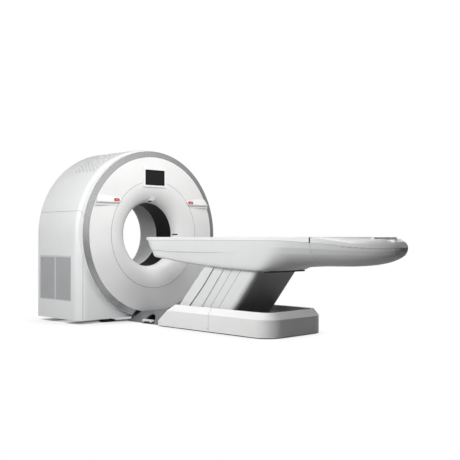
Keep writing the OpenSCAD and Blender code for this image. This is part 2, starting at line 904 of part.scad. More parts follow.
module screen() color("dimgray") upright(screen_face + screen_sink, screen_t)
    translate([0, screen_z]) soft_square(screen_w - 2 * fit_gap, screen_h - 2 * fit_gap, 2);

module estop() on_ledge(estop_x, estop_z) {
    low = -stop_pocket + estop_travel + 0.5;
    translate([0, 0, low]) linear_extrude(estop_travel + 1 - low)
        soft_square(estop_w, estop_h, stop_round);
    translate([0, 0, estop_travel + 1]) cylinder(r = 9, h = 1);
    translate([0, 0, -25]) cylinder(r = stop_stem_r, h = 20);
}

module estop_left() color("red") mirror([1, 0, 0]) estop();
module estop_right() color("red") estop();

// Bridge between table and gantry, with its pedals

function bridge_z(y) = bridge_front_h
    + (bridge_h - bridge_front_h) * (bridge_front - y) / (bridge_front - base_nose - 10);

module bridge_frame() color("dimgray") {
    bridge_end = base_nose + 10;
    strip_t = base_pad_t;
    pin_x = pedal_pivot_x;
    both() {
        box(rib_x - 20, rib_x + 20, base_nose - 60, -rail_l / 2 + 20, 0, strip_t);
        box(rib_x - 20, rib_x + 20, -rail_l / 2 + 20, -rail_l / 2 + 80, 0, floor_gap);
        side_slab(rib_x - 4, 8) polygon([
            [bridge_front - 20, strip_t],
            [bridge_front - 20, bridge_z(bridge_front - 20) - sheet_t - fit_gap],
            [bridge_end + 20, bridge_z(bridge_end + 20) - sheet_t - fit_gap],
            [bridge_end + 20, strip_t]
        ]);
        box(rail_in - 22, rail_in, bridge_end + 30, bridge_front + 20, 0, 12);
        box(rail_in, pin_x + 14, pedal_y - pedal_l / 2 - 2, pedal_y + pedal_l / 2 + 2, 0,
            pedal_foot_t);
        for (y = [-1, 1])
            box(pin_x - 8, pin_x + 8, pedal_y + y * pedal_l / 2 - 3, pedal_y + y * pedal_l / 2 + 3,
                0, pedal_pivot_z + 8);
        translate([pin_x, pedal_y + pedal_l / 2, pedal_pivot_z]) rotate([90, 0, 0])
            cylinder(r = pedal_pin_r, h = pedal_l);
    }
    for (y = [bridge_front - 60, bridge_end + 60])
        box(-rail_in, rail_in, y - 15, y + 15, 0, strip_t);
}

// A flat sheet between four corners
module sheet(corners) hull() for (c = corners) translate(c) cube([1, 1, sheet_t]);

module bridge_cover() color("silver") {
    end = base_nose + 10;
    foot_front = bridge_front + 80;
    foot_end = end + 30;
    w0 = bridge_top_w - 15;
    w1 = bridge_top_w + 25;
    h0 = bridge_front_h - sheet_t;
    h1 = bridge_h - sheet_t;
    sheet([[-w0, bridge_front, h0], [w0 - 1, bridge_front, h0], [-w1, end, h1], [w1 - 1, end, h1]]);
    difference() {
        both() sheet([[w0, bridge_front, h0], [w1, end, h1],
            [bridge_foot_w - 30, foot_front, 0], [bridge_foot_w, foot_end, 0]]);
        side_slab(-base_w, 2 * base_w) translate([pedal_y, pedal_foot_t])
            circle(pedal_l / 2 + 12);
    }
}

module foot_pedal() {
    sleeve = pedal_l - 12;
    reach = pedal_x - pedal_pivot_x;
    translate([pedal_pivot_x, pedal_y + sleeve / 2, pedal_pivot_z]) rotate([90, 0, 0])
        difference() {
            union() {
                cylinder(r = pedal_pin_r + 5, h = sleeve);
                for (z = [20, sleeve - 34]) translate([0, -4, z]) cube([reach, 8, 14]);
                translate([reach - bar_w / 4, -bar_t / 2, -6]) cube([bar_w / 2, bar_t, sleeve + 12]);
                for (z = [10, sleeve - 10])
                    translate([reach - bar_w / 4 - 3, 0, z]) rotate([0, 90, 0])
                        cylinder(r = 15, h = bar_w / 2 + 6);
            }
            translate([0, 0, -1]) cylinder(r = pedal_pin_r + pin_fit, h = sleeve + 2);
        }
}

module foot_pedal_left() color("white") mirror([1, 0, 0]) foot_pedal();
module foot_pedal_right() color("white") foot_pedal();

// Table base

module table_base_frame() color("dimgray") {
    pivots = concat([0], slat_at, [link_span]);
    ear_z = pivot_h + pin_r + 35;
    difference() {
        translate([0, 0, base_pad_t]) linear_extrude(base_plate_t) base_plan(base_inset);
        both() for (y = [-1, 1])
            translate([table_anchor_x / 2, table_mid + y * table_anchor_y / 2, 0])
                cylinder(r = anchor_r + 14, h = base_plate_top + 1);
    }
    both() {
        tube_y(base_open_w + 6, base_open_w + 56, base_end + 240, base_nose - 230,
            base_plate_top, base_plate_top + 70);
        side_slab(ear_x, ear_t) difference() {
            translate([rear_pivot - 60, base_plate_top])
                square([link_span + 95, ear_z - base_plate_top]);
            for (d = [0, link_span]) translate([front_pivot - d, pivot_h])
                circle(pin_r + pin_fit);
            for (d = slat_at) translate([front_pivot - d, pivot_h])
                circle(slat_pin_r + pin_fit);
        }
    }
}

// The base's outline inset by g
module base_plan(g) {
    w = base_w - g;
    y0 = base_end + g;
    y1 = base_nose - g;
    r = base_corner - g;
    rn = nose_corner - g;
    translate([-w, y0 + r]) square([2 * w, y1 - rn - y0 - r]);
    translate([r - w, y0]) square([2 * (w - r), r]);
    translate([rn - w, y1 - rn]) square([2 * (w - rn), rn]);
    for (x = [-1, 1]) {
        translate([x * (w - r), y0 + r]) circle(r);
        translate([x * (w - rn), y1 - rn]) circle(rn);
    }
}

// The base as a solid block with its sloping rim and nose, inset by g
module base_block(g) {
    w = base_w - g;
    y0 = base_end + g;
    y1 = base_nose - g;
    r = base_corner - g;
    z1 = base_h - g;
    low = base_h - rim_slope_h - g * 0.4;
    inset = rim_slope_w;
    slope_top = base_nose - nose_l - g / 2;
    intersection() {
        union() {
            translate([0, 0, cover_low - g]) linear_extrude(low - cover_low + g) base_plan(g);
            upright(y0 + r, y1 - y0 - r)
                polygon([[-w, low], [w, low], [w - inset, z1], [inset - w, z1]]);
            side_slab(r - w, 2 * (w - r))
                polygon([[y0, low], [y1, low], [y1, z1], [y0 + inset, z1]]);
            both() translate([w - r, y0 + r, low]) cylinder(r1 = r, r2 = r - inset, h = z1 - low);
        }
        side_slab(-base_w, 2 * base_w) polygon([
            [y0 - 1, -10], [y1 + 1, -10], [y1 + 1, nose_h - g], [y1, nose_h - g],
            [slope_top, base_h - g], [slope_top, z1 + 1], [y0 - 1, z1 + 1]
        ]);
    }
}

module base_cover(y0, y1) intersection() {
    difference() {
        base_block(0);
        base_block(cover_wall);
        translate([0, 0, base_h - base_open_t]) linear_extrude(2 * base_open_t)
            soft_plan(base_open_w, base_open_end, base_open_front, 100);
    }
    box(-base_w - 1, base_w + 1, y0, y1, 0, base_h + 1);
}

module base_cover_front() color("white") base_cover(base_seam + seam / 2, base_nose + 1);
module base_cover_rear() color("white") base_cover(base_end - 1, base_seam - seam / 2);

// Lift

// Places children at a pivot on the base, standing along a link: Z runs up the link
module on_link(back) translate([0, front_pivot - back, pivot_h]) rotate([link_lean, 0, 0]) children();

module cross_pin(r, x0, x1) translate([x0, 0, 0]) rotate([0, 90, 0]) cylinder(r = r, h = x1 - x0);

module lower_pins() color("silver") {
    for (d = [0, link_span]) translate([0, front_pivot - d, pivot_h])
        cross_pin(pin_r, -arm_x - arm_t - 3, arm_x + arm_t + 3);
    both() for (i = [0:2]) translate([0, front_pivot - slat_at[i], pivot_h])
        cross_pin(slat_pin_r, ear_x, column_w - panel_t - panel_gap
            - (slat_layer[i] - 1) * layer_step);
}

module lift_gearmotor() color("slategray") {
    gear_x = 90;
    difference() {
        union() {
            box(-gear_x, gear_x, front_pivot - 60, front_pivot + 50, base_plate_top,
                pivot_h + pin_r + 14);
            translate([0, front_pivot - 60, base_plate_top + 55]) rotate([90, 0, 0])
                cylinder(r = 46, h = 230);
            box(-30, 30, front_pivot - 270, front_pivot - 60, base_plate_top,
                base_plate_top + 20);
        }
        translate([0, front_pivot, pivot_h]) cross_pin(pin_r + pin_fit, -gear_x - 1, gear_x + 1);
    }
}

// A pair of link arms with their cross tube; the upper bores are wider by a named clearance
module link_pair(back, upper_fit) on_link(back) {
    mid = link_l / 2;
    difference() {
        union() {
            both() {
                side_slab(arm_x, arm_t) {
                    translate([-arm_w / 2, 0]) square([arm_w, link_l]);
                    circle(arm_w / 2);
                    translate([0, link_l]) circle(arm_w / 2);
                }
            }
            translate([0, 0, mid]) cross_pin(arm_w / 2, -arm_x - 1, arm_x + 1);
        }
        cross_pin(pin_r + pin_fit, -column_w, column_w);
        translate([0, 0, link_l]) cross_pin(pin_r + upper_fit, -column_w, column_w);
        translate([0, 0, mid]) cross_pin(arm_w / 2 - 6, -arm_x - 2, arm_x + 2);
    }
}

// Brackets between a link's arms and its cover, from y0 to y1
module cover_bracket(y0, y1, u) both()
    translate([arm_x, y0, u - bracket_h / 2]) cube([arm_t, y1 - y0, bracket_h]);

module front_link() color("silver") {
    link_pair(0, pin_fit);
    on_link(0) rotate([front_tilt, 0, 0]) for (u = [bracket_u, link_l - bracket_u])
        cover_bracket(arm_w / 2 - 7 + u * tan(front_tilt), front_edge_v - panel_t, u);
}

module rear_link() color("silver") {
    link_pair(link_span, open_fit);
    on_link(link_span) for (u = [bracket_u, link_l - bracket_u])
        cover_bracket(rear_face_v + panel_t + 3.2, 7 - arm_w / 2, u);
}

// A U-shaped sheet in plan, its closed side towards +Y, between y0 and y1
module u_sheet(y0, y1, r) {
    depth = 2 * (y1 - y0);
    translate([0, y0]) difference() {
        soft_square(2 * column_w, depth, r);
        soft_square(2 * (column_w - panel_t), depth - 2 * panel_t, r - panel_t);
        translate([-column_w - 1, -depth]) square([2 * column_w + 2, depth]);
    }
}

module front_column_cover() color("white") on_link(0) intersection() {
    rotate([front_tilt, 0, 0]) translate([0, 0, cover_foot])
        linear_extrude(link_l - cover_top_gap - cover_foot)
            u_sheet(front_edge_v - front_panel_w, front_edge_v, column_round);
    side_slab(-column_w - 1, 2 * column_w + 2) polygon([
        [2 * front_edge_v, 0], [slant_low_v, 0], [slant_high_v, slant_end_u],
        [slant_high_v, link_l], [2 * front_edge_v, link_l]
    ]);
}

module rear_column_cover() color("dimgray") on_link(link_span)
    translate([0, 0, cover_foot + 20]) linear_extrude(link_l - cover_top_gap)
        mirror([0, 1]) u_sheet(-rear_edge_v, -rear_face_v, rear_round);

module side_panel(i) both() on_link(slat_at[i])
    side_slab(column_w - panel_t - panel_gap - panel_t - (slat_layer[i] - 1) * layer_step, panel_t)
        difference() {
            a = slat_edge[i][0];
            b = slat_edge[i][1];
            translate([(a + b) / 2, link_l / 2]) soft_square(b - a, link_l + 44, 20);
            circle(slat_pin_r + pin_fit);
            translate([0, link_l]) circle(slat_pin_r + open_fit);
        }

module side_panel_1() color("gainsboro") side_panel(0);
module side_panel_2() color("gainsboro") side_panel(1);
module side_panel_3() color("gainsboro") side_panel(2);

// Table top

// Half-width of the table top at a distance along Y
function plan_w(y) = let(
    d = top_front - y,
    t = (top_seam + tail_start - y) / (top_seam + tail_start - top_end)
) d < front_corner ? top_w - front_corner + sqrt(max(0, pow(front_corner, 2) - pow(front_corner - d, 2)))
    : t <= 0 ? top_w
    : top_w * sqrt(max(0, 1 - pow(t, 2)));

// Height of the seam between hull and rim, and of the keel
function seam_z(y) = lookup(y, [
    [top_end, top_h - 92], [top_end + 115, top_h - 92], [top_end + 260, top_h - 88],
    [top_end + 355, top_h - 80], [top_end + 505, top_h - 64], [top_seam - 35, band_z - 18],
    [top_seam + 210, band_z - 4], [top_seam + 400, band_z]
]);

function keel_z(y) = lookup(y, [
    [top_end, top_h - 95], [top_end + 10, top_h - 128], [top_end + 43, top_h - 161],
    [top_end + 85, top_h - 183], [top_end + 139, top_h - 203], [top_end + 210, top_h - 221],
    [top_end + 288, top_h - 234], [top_end + 380, top_h - 244], [top_end + 494, top_h - 251],
    [top_end + 655, top_h - 254], [top_seam + 60, top_h - 257], [skirt_end - 330, top_h - 268],
    [skirt_end - 207, top_h - 286], [skirt_end - 100, top_h - 305], [skirt_end - 20, top_h - 314],
    [skirt_end + 60, top_h - 313], [skirt_end + 230, top_h - 308], [skirt_front - 417, top_h - 297],
    [skirt_front - 220, top_h - 286], [skirt_front + 37, top_h - 267],
    [top_front - 511, top_h - 246], [top_front - 285, top_h - 225], [top_front, top_h - 206]
]);

function fade(y, a, b) = max(0, min(1, (y - b) / (a - b)));

function smooth(t) = t * t * (3 - 2 * t);

// Squareness of a section, running from one exponent to another between two places
function square_n(y, y0, n0, y1, n1) = 1 / (1 / n1 + (1 / n0 - 1 / n1) * smooth(fade(y, y0, y1)));

function side_n(y) = square_n(y, skirt_end + 60, 18, skirt_end - 350, 2.2);

// How far a point lies behind its station where the front leans back
function lean(y, z) = rake / 50 * (top_h - z) * fade(y, top_front, top_front - 600);

// One side of the hull's section from the rim down to the keel, inset by g
function half_ring(y, g) = let(
    zs = seam_z(y),
    depth = max(1, zs - keel_z(y) - g),
    w = max(0.5, plan_w(y) - g),
    n = side_n(y),
    crease = min(0.55, (zs - top_h + 147) / depth),
    drop = 8 * fade(y, skirt_front - 200, skirt_front - 520),
    s = concat([0, crease / 2, crease - 0.006, crease + 0.006],
        [for (j = [1:levels]) 1 - (1 - crease) * pow(1 - j / levels, 3)])
) [for (j = [0:len(s) - 1]) let(
    z = zs - depth * s[j],
    x = w * pow(max(0, 1 - pow(s[j], n)), 1 / n)
) [max(0, x - (s[j] > crease && x > 60 ? drop : 0)), y - lean(y, z), z]];

function both_sides(half) = concat(half,
    [for (i = [len(half) - 2:-1:0]) [-half[i][0], half[i][1], half[i][2]]]);

// The section as a closed ring, with its top edge lifted
function hull_ring(y, g, lift) = let(h = half_ring(y, g)) flip(both_sides(
    [for (i = [0:len(h) - 1]) i == 0 ? [h[0][0], h[0][1], h[0][2] + lift] : h[i]]
));

// A solid through closed rings of points, each ring going once round
module loft(rings) {
    n = len(rings[0]);
    m = len(rings);
    polyhedron(
        points = [for (ring = rings) each ring],
        faces = concat(
            [[for (j = [0:n - 1]) j]],
            [for (i = [0:m - 2], j = [0:n - 1]) let(a = i * n, b = a + n, k = (j + 1) % n)
                each [[a + j, b + j, a + k], [a + k, b + j, b + k]]],
            [[for (j = [n - 1:-1:0]) (m - 1) * n + j]]
        )
    );
}

// Stations from the front end, closer together round the front corner
hull_stations = concat(
    [for (i = [0:6]) top_front - front_corner * (1 - cos(15 * i))],
    [top_front - 285, top_front - 400, top_front - 600, skirt_front + 37, skirt_front - 220,
        skirt_front - 417, skirt_end + 230],
    [for (i = [0:12]) skirt_end + 60 - 38 * i],
    [top_seam + 110, top_seam + 60, top_seam + seam / 2]
);

rear_stations = concat(
    [top_seam - seam / 2, top_seam - 35, top_seam - 130],
    [for (t = [0.42, 0.48, 0.54, 0.6, 0.66, 0.71, 0.76, 0.81, 0.85, 0.89, 0.925, 0.955, 0.98,
        0.992, 0.998]) top_seam + tail_start - t * (top_seam + tail_start - top_end)]
);

module hull_skin(stations, inside) difference() {
    loft([for (y = stations) hull_ring(y, 0, 0)]);
    loft([for (y = inside) hull_ring(y, hull_wall, 2)]);
}

module hull_front() color("gainsboro") difference() {
    n = len(hull_stations);
    hull_skin(hull_stations, concat(
        [for (i = [0:n - 2]) hull_stations[i] - hull_wall * (i == 0 ? 1 : 0.5)],
        [hull_stations[n - 1] - 2]
    ));
    box(-skirt_w - 3, skirt_w + 3, skirt_end, skirt_front, 500, top_h - 220);
    box(-rim_inner, rim_inner, top_front - 70, top_front + 1, cradle_low - 8, top_h);
}

module hull_rear() color("gainsboro") {
    n = len(rear_stations);
    hull_skin(rear_stations, concat(
        [rear_stations[0] + 2],
        [for (i = [1:n - 5]) rear_stations[i] + 0.5]
    ));
}

// The space below the seam, and below a front edge that leans back
module below_seam(y0) side_slab(-top_w - 1, 2 * top_w + 2) polygon(concat(
    [[y0, 0], [y0, seam_z(y0) + seam]],
    [for (d = [35, -210, -400]) [top_seam - d, seam_z(top_seam - d) + seam]],
    [[top_front - rake / 50 * rim_band, band_z + seam], [top_front + 1, top_h + 1], [top_front + 1, 0]]
));

module rim_plan(g) intersection() {
    soft_plan(top_w - g, top_seam - 400, top_front - g, front_corner - g);
    translate([rim_inner + g, top_seam + (g > 0 ? -1 : seam / 2)]) square([top_w, -top_seam]);
}

module top_rim() color("white") both() difference() {
    translate([0, 0, band_z - 60]) linear_extrude(rim_band + 60) rim_plan(0);
    translate([0, 0, band_z - 61]) linear_extrude(rim_band + 61 - rim_t2) rim_plan(rim_t2);
    below_seam(top_seam - 10);
}

// Foot-end deck: height of its crown, and its section as a ring inset by g
function crown_z(y) = lookup(y, [
    [top_end, top_h - 87], [top_end + 45, top_h - 43], [top_end + 118, top_h - 5],
    [top_end + 180, top_h], [top_seam, top_h]
]);

function deck_ring(y, g) = let(
    w = max(1, plan_w(y) - g),
    z0 = seam_z(y) + seam,
    h = max(0.5, crown_z(y) - z0 - g),
    m = square_n(y, top_seam - 60, 14, top_seam - 420, 3.6)
) both_sides([for (j = [0:deck_levels]) let(t = 90 * j / deck_levels)
    [w * pow(cos(t), 2 / m), y, z0 + (j == 0 && g > 0 ? -2 : h * pow(sin(t), 2 / m))]]);

deck_stations = [for (i = [0:26]) top_seam - seam / 2
    - (top_seam - top_end) * 0.999 * (i < 12 ? i / 16 : 0.75 + 0.25 * sin(90 * (i - 12) / 14))];

function scoop_w(y) = min(grip_half, plan_w(y) * scoop_share);

// The hollow in the deck, grown by g
module deck_scoop(g) intersection() {
    at = [for (i = [0:14]) scoop_end - 6 + (scoop_start - scoop_end + 24) * i / 14];
    translate([0, 0, top_h - 2 * scoop_depth]) linear_extrude(3 * scoop_depth)
        polygon(concat([for (y = at) [scoop_w(y) + g, y]],
            [for (y = flip(at)) [-scoop_w(y) - g, y]]));
    side_slab(-top_w, 2 * top_w) polygon([
        [scoop_end - g, top_h + 8], [scoop_end + 8 - g, top_h - scoop_depth + 2 - g],
        [top_end + 150, top_h - scoop_depth - g], [top_end + 240, top_h - scoop_depth + 6 - g],
        [top_end + 330, top_h - 22 - g], [scoop_start, top_h - g], [scoop_start + 12, top_h + 8]
    ]);
}

module foot_end_cover() color("white") {
    n = len(deck_stations);
    bar_end = scoop_w(grip_y) + deck_t / 2;
    difference() {
        loft([for (y = deck_stations) deck_ring(y, 0)]);
        deck_scoop(0);
        difference() {
            loft(concat([deck_ring(deck_stations[0] + 2, deck_t)],
                [for (i = [1:n - 8]) deck_ring(deck_stations[i], deck_t)]));
            deck_scoop(deck_t);
        }
    }
    side_slab(-bar_end, 2 * bar_end) translate([grip_y, crown_z(grip_y) - 12])
        soft_square(34, 22, 10);
    translate([0, grip_y, top_h - scoop_depth - 2]) linear_extrude(scoop_depth - 16)
        soft_square(46, 22, 8);
}

module top_frame() color("dimgray") {
    y1 = top_front - 230;
    y0 = top_seam - 90;
    reach = [top_w - hull_wall - 9.5, top_w - hull_wall - 7];
    both() tube_y(frame_x, frame_x + frame_w, y0, y1, frame_z, frame_z + frame_h);
    for (i = [0, 1])
        tube_x(-reach[i], reach[i], cross_y[i] - 30, cross_y[i] + 30, frame_z, frame_z + frame_h);
    for (y = [y1 - 60, (y0 + y1) / 2, y0])
        tube_x(-frame_x, frame_x, y, y + 60, frame_z, frame_z + frame_h);
}

module pivot_brackets() color("dimgray") {
    low = pivot_h + rise - pin_r - 12;
    upper = front_pivot - run;
    both() {
        side_slab(ear_x, ear_t) difference() {
            translate([upper - link_span - 50, low]) square([link_span + 85, frame_z - low]);
            for (d = [0, link_span]) translate([upper - d, pivot_h + rise]) circle(pin_r - 1);
            for (d = slat_at) translate([upper - d, pivot_h + rise]) circle(slat_pin_r - 1);
        }
        for (i = [0:2]) translate([0, upper - slat_at[i], pivot_h + rise])
            cross_pin(slat_pin_r, ear_x, column_w - panel_t - panel_gap
                - (slat_layer[i] - 1) * layer_step);
    }
    for (d = [0, link_span]) translate([0, upper - d, pivot_h + rise])
        cross_pin(pin_r, -arm_x - arm_t - 3, arm_x + arm_t + 3);
}

module cradle_rails() color("silver") both()
    box(cradle_rail_x, cradle_rail_x + cradle_rail_w, top_seam - 50, top_front - 125,
        frame_z + frame_h, frame_z + frame_h + rail_h);

module cradle() color("white") {
    bend = (pow(cradle_w, 2) + pow(cradle_dip, 2)) / (2 * cradle_dip);
    z0 = frame_z + frame_h + rail_h + fit_gap;
    y1 = top_front - 15;
    upright(y1 - cradle_l, cradle_l) intersection() {
        translate([0, cradle_top - cradle_dip + bend]) difference() {
            circle(bend + cradle_t, $fn = 720);
            circle(bend, $fn = 720);
        }
        translate([-cradle_w, cradle_low - 1]) square([2 * cradle_w, cradle_top - cradle_low + 1]);
    }
    box(-cradle_rail_x - 20, cradle_rail_x + 20, y1 - cradle_l + 40, y1 - cradle_l + 40 + carriage_l,
        z0, cradle_low + 8);
}

gantry_base_frame();
anchor_feet();
stator_frame();
bearing_outer_ring();
bearing_inner_ring();
rotor_drum();
xray_tube();
collimator();
detector_arc();
hv_generator();
heat_exchanger();
counterweight();
slip_ring();
brush_block();
drive_motor();
drive_pulley();
drive_belt();
power_cabinet();
top_shell();
side_cover_left();
side_cover_right();
side_grille_left();
side_grille_right();
front_rim();
trim_ring();
front_cover_upper();
front_cover_lower();
front_funnel();
scan_window();
back_funnel();
back_cover();
screen_bezel();
screen();
estop_left();
estop_right();
laser_windows();
bridge_frame();
bridge_cover();
foot_pedal_left();
foot_pedal_right();
table_base_frame();
base_cover_front();
base_cover_rear();
lower_pins();
lift_gearmotor();
front_link();
front_column_cover();
side_panel_1();
side_panel_2();
side_panel_3();
rear_link();
rear_column_cover();
top_frame();
pivot_brackets();
hull_front();
hull_rear();
top_rim();
foot_end_cover();
cradle_rails();
cradle();
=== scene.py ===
"""CT scanner: materials, small trim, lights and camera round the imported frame. Metres."""
import math

import bmesh
import bpy
from mathutils import Matrix, Vector
from mathutils.bvhtree import BVHTree

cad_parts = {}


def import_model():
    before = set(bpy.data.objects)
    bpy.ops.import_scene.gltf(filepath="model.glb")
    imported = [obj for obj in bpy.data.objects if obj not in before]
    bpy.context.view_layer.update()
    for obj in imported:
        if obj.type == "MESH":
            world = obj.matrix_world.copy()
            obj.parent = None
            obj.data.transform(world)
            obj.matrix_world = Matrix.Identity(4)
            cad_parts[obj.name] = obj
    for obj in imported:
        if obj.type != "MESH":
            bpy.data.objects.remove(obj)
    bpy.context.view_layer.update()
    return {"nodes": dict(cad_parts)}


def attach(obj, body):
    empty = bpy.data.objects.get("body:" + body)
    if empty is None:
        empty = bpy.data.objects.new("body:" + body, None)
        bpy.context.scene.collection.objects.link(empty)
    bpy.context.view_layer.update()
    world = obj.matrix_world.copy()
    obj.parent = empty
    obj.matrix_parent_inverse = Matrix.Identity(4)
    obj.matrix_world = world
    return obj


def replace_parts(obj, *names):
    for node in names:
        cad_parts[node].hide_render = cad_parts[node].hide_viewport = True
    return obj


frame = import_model()
nodes = frame["nodes"]

ISO = 0.926  # height of the bore axis
LEAN = math.radians(39)  # the column links' lean from upright
PIVOT = Vector((0, -1.273, 0.120))  # lower pin of the front links


# Materials

def new_material(name):
    m = bpy.data.materials.new(name)
    m.use_nodes = True
    t = m.node_tree
    t.nodes.clear()
    out = t.nodes.new("ShaderNodeOutputMaterial")
    sh = t.nodes.new("ShaderNodeBsdfPrincipled")
    t.links.new(sh.outputs[0], out.inputs[0])
    return m, t, sh


def add(t, kind, **vals):
    n = t.nodes.new(kind)
    for k, v in vals.items():
        setattr(n, k, v)
    return n


def link(t, *pairs):
    for a, b in pairs:
        t.links.new(a, b)


def ranged(t, sock, lo, hi):
    """0 to 1 on a soft curve while the socket runs from lo to hi."""
    r = add(t, "ShaderNodeMapRange", interpolation_type="SMOOTHSTEP")
    r.inputs["From Min"].default_value = lo
    r.inputs["From Max"].default_value = hi
    t.links.new(sock, r.inputs["Value"])
    return r.outputs[0]


def normal_axis(t, axis, source="Normal"):
    """One coordinate of the surface's normal or place."""
    geo = add(t, "ShaderNodeNewGeometry")
    sep = add(t, "ShaderNodeSeparateXYZ")
    t.links.new(geo.outputs[source], sep.inputs[0])
    return sep.outputs[axis]


def two_tone(t, sh, ramp, factor, color):
    """Base colour from the constant colour at 0 to the surface's own at 1."""
    mix = add(t, "ShaderNodeMix", data_type="RGBA")
    mix.inputs[6].default_value = (*color, 1)
    link(t, (factor, mix.inputs["Factor"]), (ramp.outputs[0], mix.inputs[7]),
         (mix.outputs[2], sh.inputs["Base Color"]))


def background_rays(t, glossy):
    """1 for camera and transmission rays, glossy's level for glossy rays, 0 for all others."""
    lp = add(t, "ShaderNodeLightPath")
    seen = add(t, "ShaderNodeMath", operation="MAXIMUM")
    part = add(t, "ShaderNodeMath", operation="MULTIPLY")
    both = add(t, "ShaderNodeMath", operation="MAXIMUM")
    link(t, (lp.outputs["Is Camera Ray"], seen.inputs[0]),
         (lp.outputs["Is Transmission Ray"], seen.inputs[1]),
         (lp.outputs["Is Glossy Ray"], part.inputs[0]),
         (seen.outputs[0], both.inputs[0]), (part.outputs[0], both.inputs[1]))
    if isinstance(glossy, float):
        part.inputs[1].default_value = glossy
    else:
        t.links.new(glossy, part.inputs[1])
    return both.outputs[0]


def surface(name, color, rough=0.4, metal=0.0, coat=0.0, spread=0.03, scale=6.0, grain=900.0,
            bump=0.02, rough_spread=0.06, stretch=None, spec=0.5):
    """A painted, moulded or ground surface: slow tone drift, fine grained bump, uneven gloss."""
    m, t, sh = new_material(name)
    sh.inputs["Metallic"].default_value = metal
    sh.inputs["Specular IOR Level"].default_value = spec
    if coat:
        sh.inputs["Coat Weight"].default_value = coat
        sh.inputs["Coat Roughness"].default_value = 0.08
    co = add(t, "ShaderNodeTexCoord")
    mp = add(t, "ShaderNodeMapping")
    if stretch:
        mp.inputs["Scale"].default_value = stretch
    t.links.new(co.outputs["Object"], mp.inputs["Vector"])
    slow = add(t, "ShaderNodeTexNoise")
    slow.inputs["Scale"].default_value = scale
    slow.inputs["Detail"].default_value = 3.0
    fine = add(t, "ShaderNodeTexNoise")
    fine.inputs["Scale"].default_value = grain
    fine.inputs["Detail"].default_value = 2.0
    t.links.new(mp.outputs[0], slow.inputs["Vector"])
    t.links.new(mp.outputs[0], fine.inputs["Vector"])
    ramp = add(t, "ShaderNodeValToRGB")
    lo = [max(0.0, c * (1 - spread)) for c in color]
    hi = [min(1.0, c * (1 + spread)) for c in color]
    ramp.color_ramp.elements[0].position = 0.3
    ramp.color_ramp.elements[1].position = 0.7
    ramp.color_ramp.elements[0].color = (*lo, 1)
    ramp.color_ramp.elements[1].color = (*hi, 1)
    t.links.new(slow.outputs["Fac"], ramp.inputs[0])
    t.links.new(ramp.outputs[0], sh.inputs["Base Color"])
    rr = add(t, "ShaderNodeMapRange")
    rr.inputs["To Min"].default_value = max(0.02, rough - rough_spread)
    rr.inputs["To Max"].default_value = rough + rough_spread
    t.links.new(slow.outputs["Fac"], rr.inputs["Value"])
    t.links.new(rr.outputs[0], sh.inputs["Roughness"])
    bp = add(t, "ShaderNodeBump")
    bp.inputs["Strength"].default_value = bump
    bp.inputs["Distance"].default_value = 0.001
    t.links.new(fine.outputs["Fac"], bp.inputs["Height"])
    t.links.new(bp.outputs[0], sh.inputs["Normal"])
    return m, t, sh, ramp


white = surface("white_gloss", (0.80, 0.80, 0.795), 0.32, coat=0.25, spread=0.012)[0]
cover_white = surface("cover_gloss", (0.76, 0.76, 0.755), 0.34, coat=0.2, spread=0.012)[0]
base_white = surface("base_gloss", (0.86, 0.86, 0.855), 0.36, coat=0.15, spread=0.012)[0]
shell_white = surface("white_satin", (0.76, 0.765, 0.77), 0.42, spread=0.012)[0]
hull_white = surface("hull_satin", (0.70, 0.705, 0.71), 0.40, spread=0.012)[0]
ring_metal = surface("silver_trim", (0.50, 0.505, 0.515), 0.27, metal=0.95, spread=0.012,
                     grain=1400, rough_spread=0.02, bump=0.008)[0]
grille_paint = surface("grille_paint", (0.60, 0.605, 0.615), 0.45, metal=0.1, spread=0.02)[0]
black_gloss = surface("black_gloss", (0.006, 0.006, 0.007), 0.5, spread=0.1, spec=0.2)[0]
red = surface("red_button", (0.42, 0.003, 0.005), 0.35, coat=0.2, spread=0.04)[0]
bridge = surface("bridge_sheet", (0.27, 0.275, 0.285), 0.36, metal=0.7, spread=0.05, grain=700,
                 bump=0.05)[0]
panel = surface("panel_grey", (0.77, 0.775, 0.78), 0.42, spread=0.012)[0]
frame_paint = surface("frame_paint", (0.06, 0.062, 0.068), 0.5, spread=0.1, grain=400, bump=0.08)[0]
steel = surface("ground_steel", (0.56, 0.56, 0.57), 0.30, metal=1.0, spread=0.05,
                stretch=(1, 1, 40), bump=0.04)[0]
alloy = surface("drum_alloy", (0.60, 0.605, 0.615), 0.36, metal=1.0, spread=0.05, grain=300,
                bump=0.05)[0]
unit_paint = surface("unit_paint", (0.22, 0.25, 0.29), 0.45, spread=0.06, grain=500, bump=0.05)[0]
bronze = surface("tube_paint", (0.40, 0.29, 0.10), 0.4, metal=0.3, spread=0.08)[0]
black_matte = surface("black_matte", (0.016, 0.016, 0.018), 0.6, spread=0.15, grain=500,
                      bump=0.1)[0]
iron = surface("cast_iron", (0.10, 0.10, 0.105), 0.6, metal=0.5, spread=0.2, grain=220,
               bump=0.35)[0]
brass = surface("slip_brass", (0.55, 0.40, 0.16), 0.28, metal=1.0, spread=0.06)[0]
rubber = surface("belt_rubber", (0.012, 0.012, 0.012), 0.7, spread=0.2, grain=300, bump=0.2)[0]
lens = surface("dark_lens", (0.02, 0.02, 0.025), 0.12, coat=0.6, spread=0.05)[0]
# Painted shade: black for the sheet just inside the top shell's vent slots.
shade_sheet_black = surface("vent_shade_sheet", (0.03, 0.03, 0.031), 0.7, spread=0.2, grain=600, bump=0.2)[0]
pale_mark = surface("pale_mark", (0.75, 0.55, 0.53), 0.4, spread=0.04)[0]
# Painted shade: black for the strip that stands for the shadow gap behind the column's front cover.
shadow_gap_black = surface("shadow_gap_black", (0.015, 0.015, 0.016), 0.55, spread=0.1)[0]
seam_grey = surface("seam_grey", (0.20, 0.20, 0.205), 0.6, spread=0.05)[0]
seam_dark = surface("seam_dark", (0.05, 0.05, 0.052), 0.6, spread=0.08)[0]


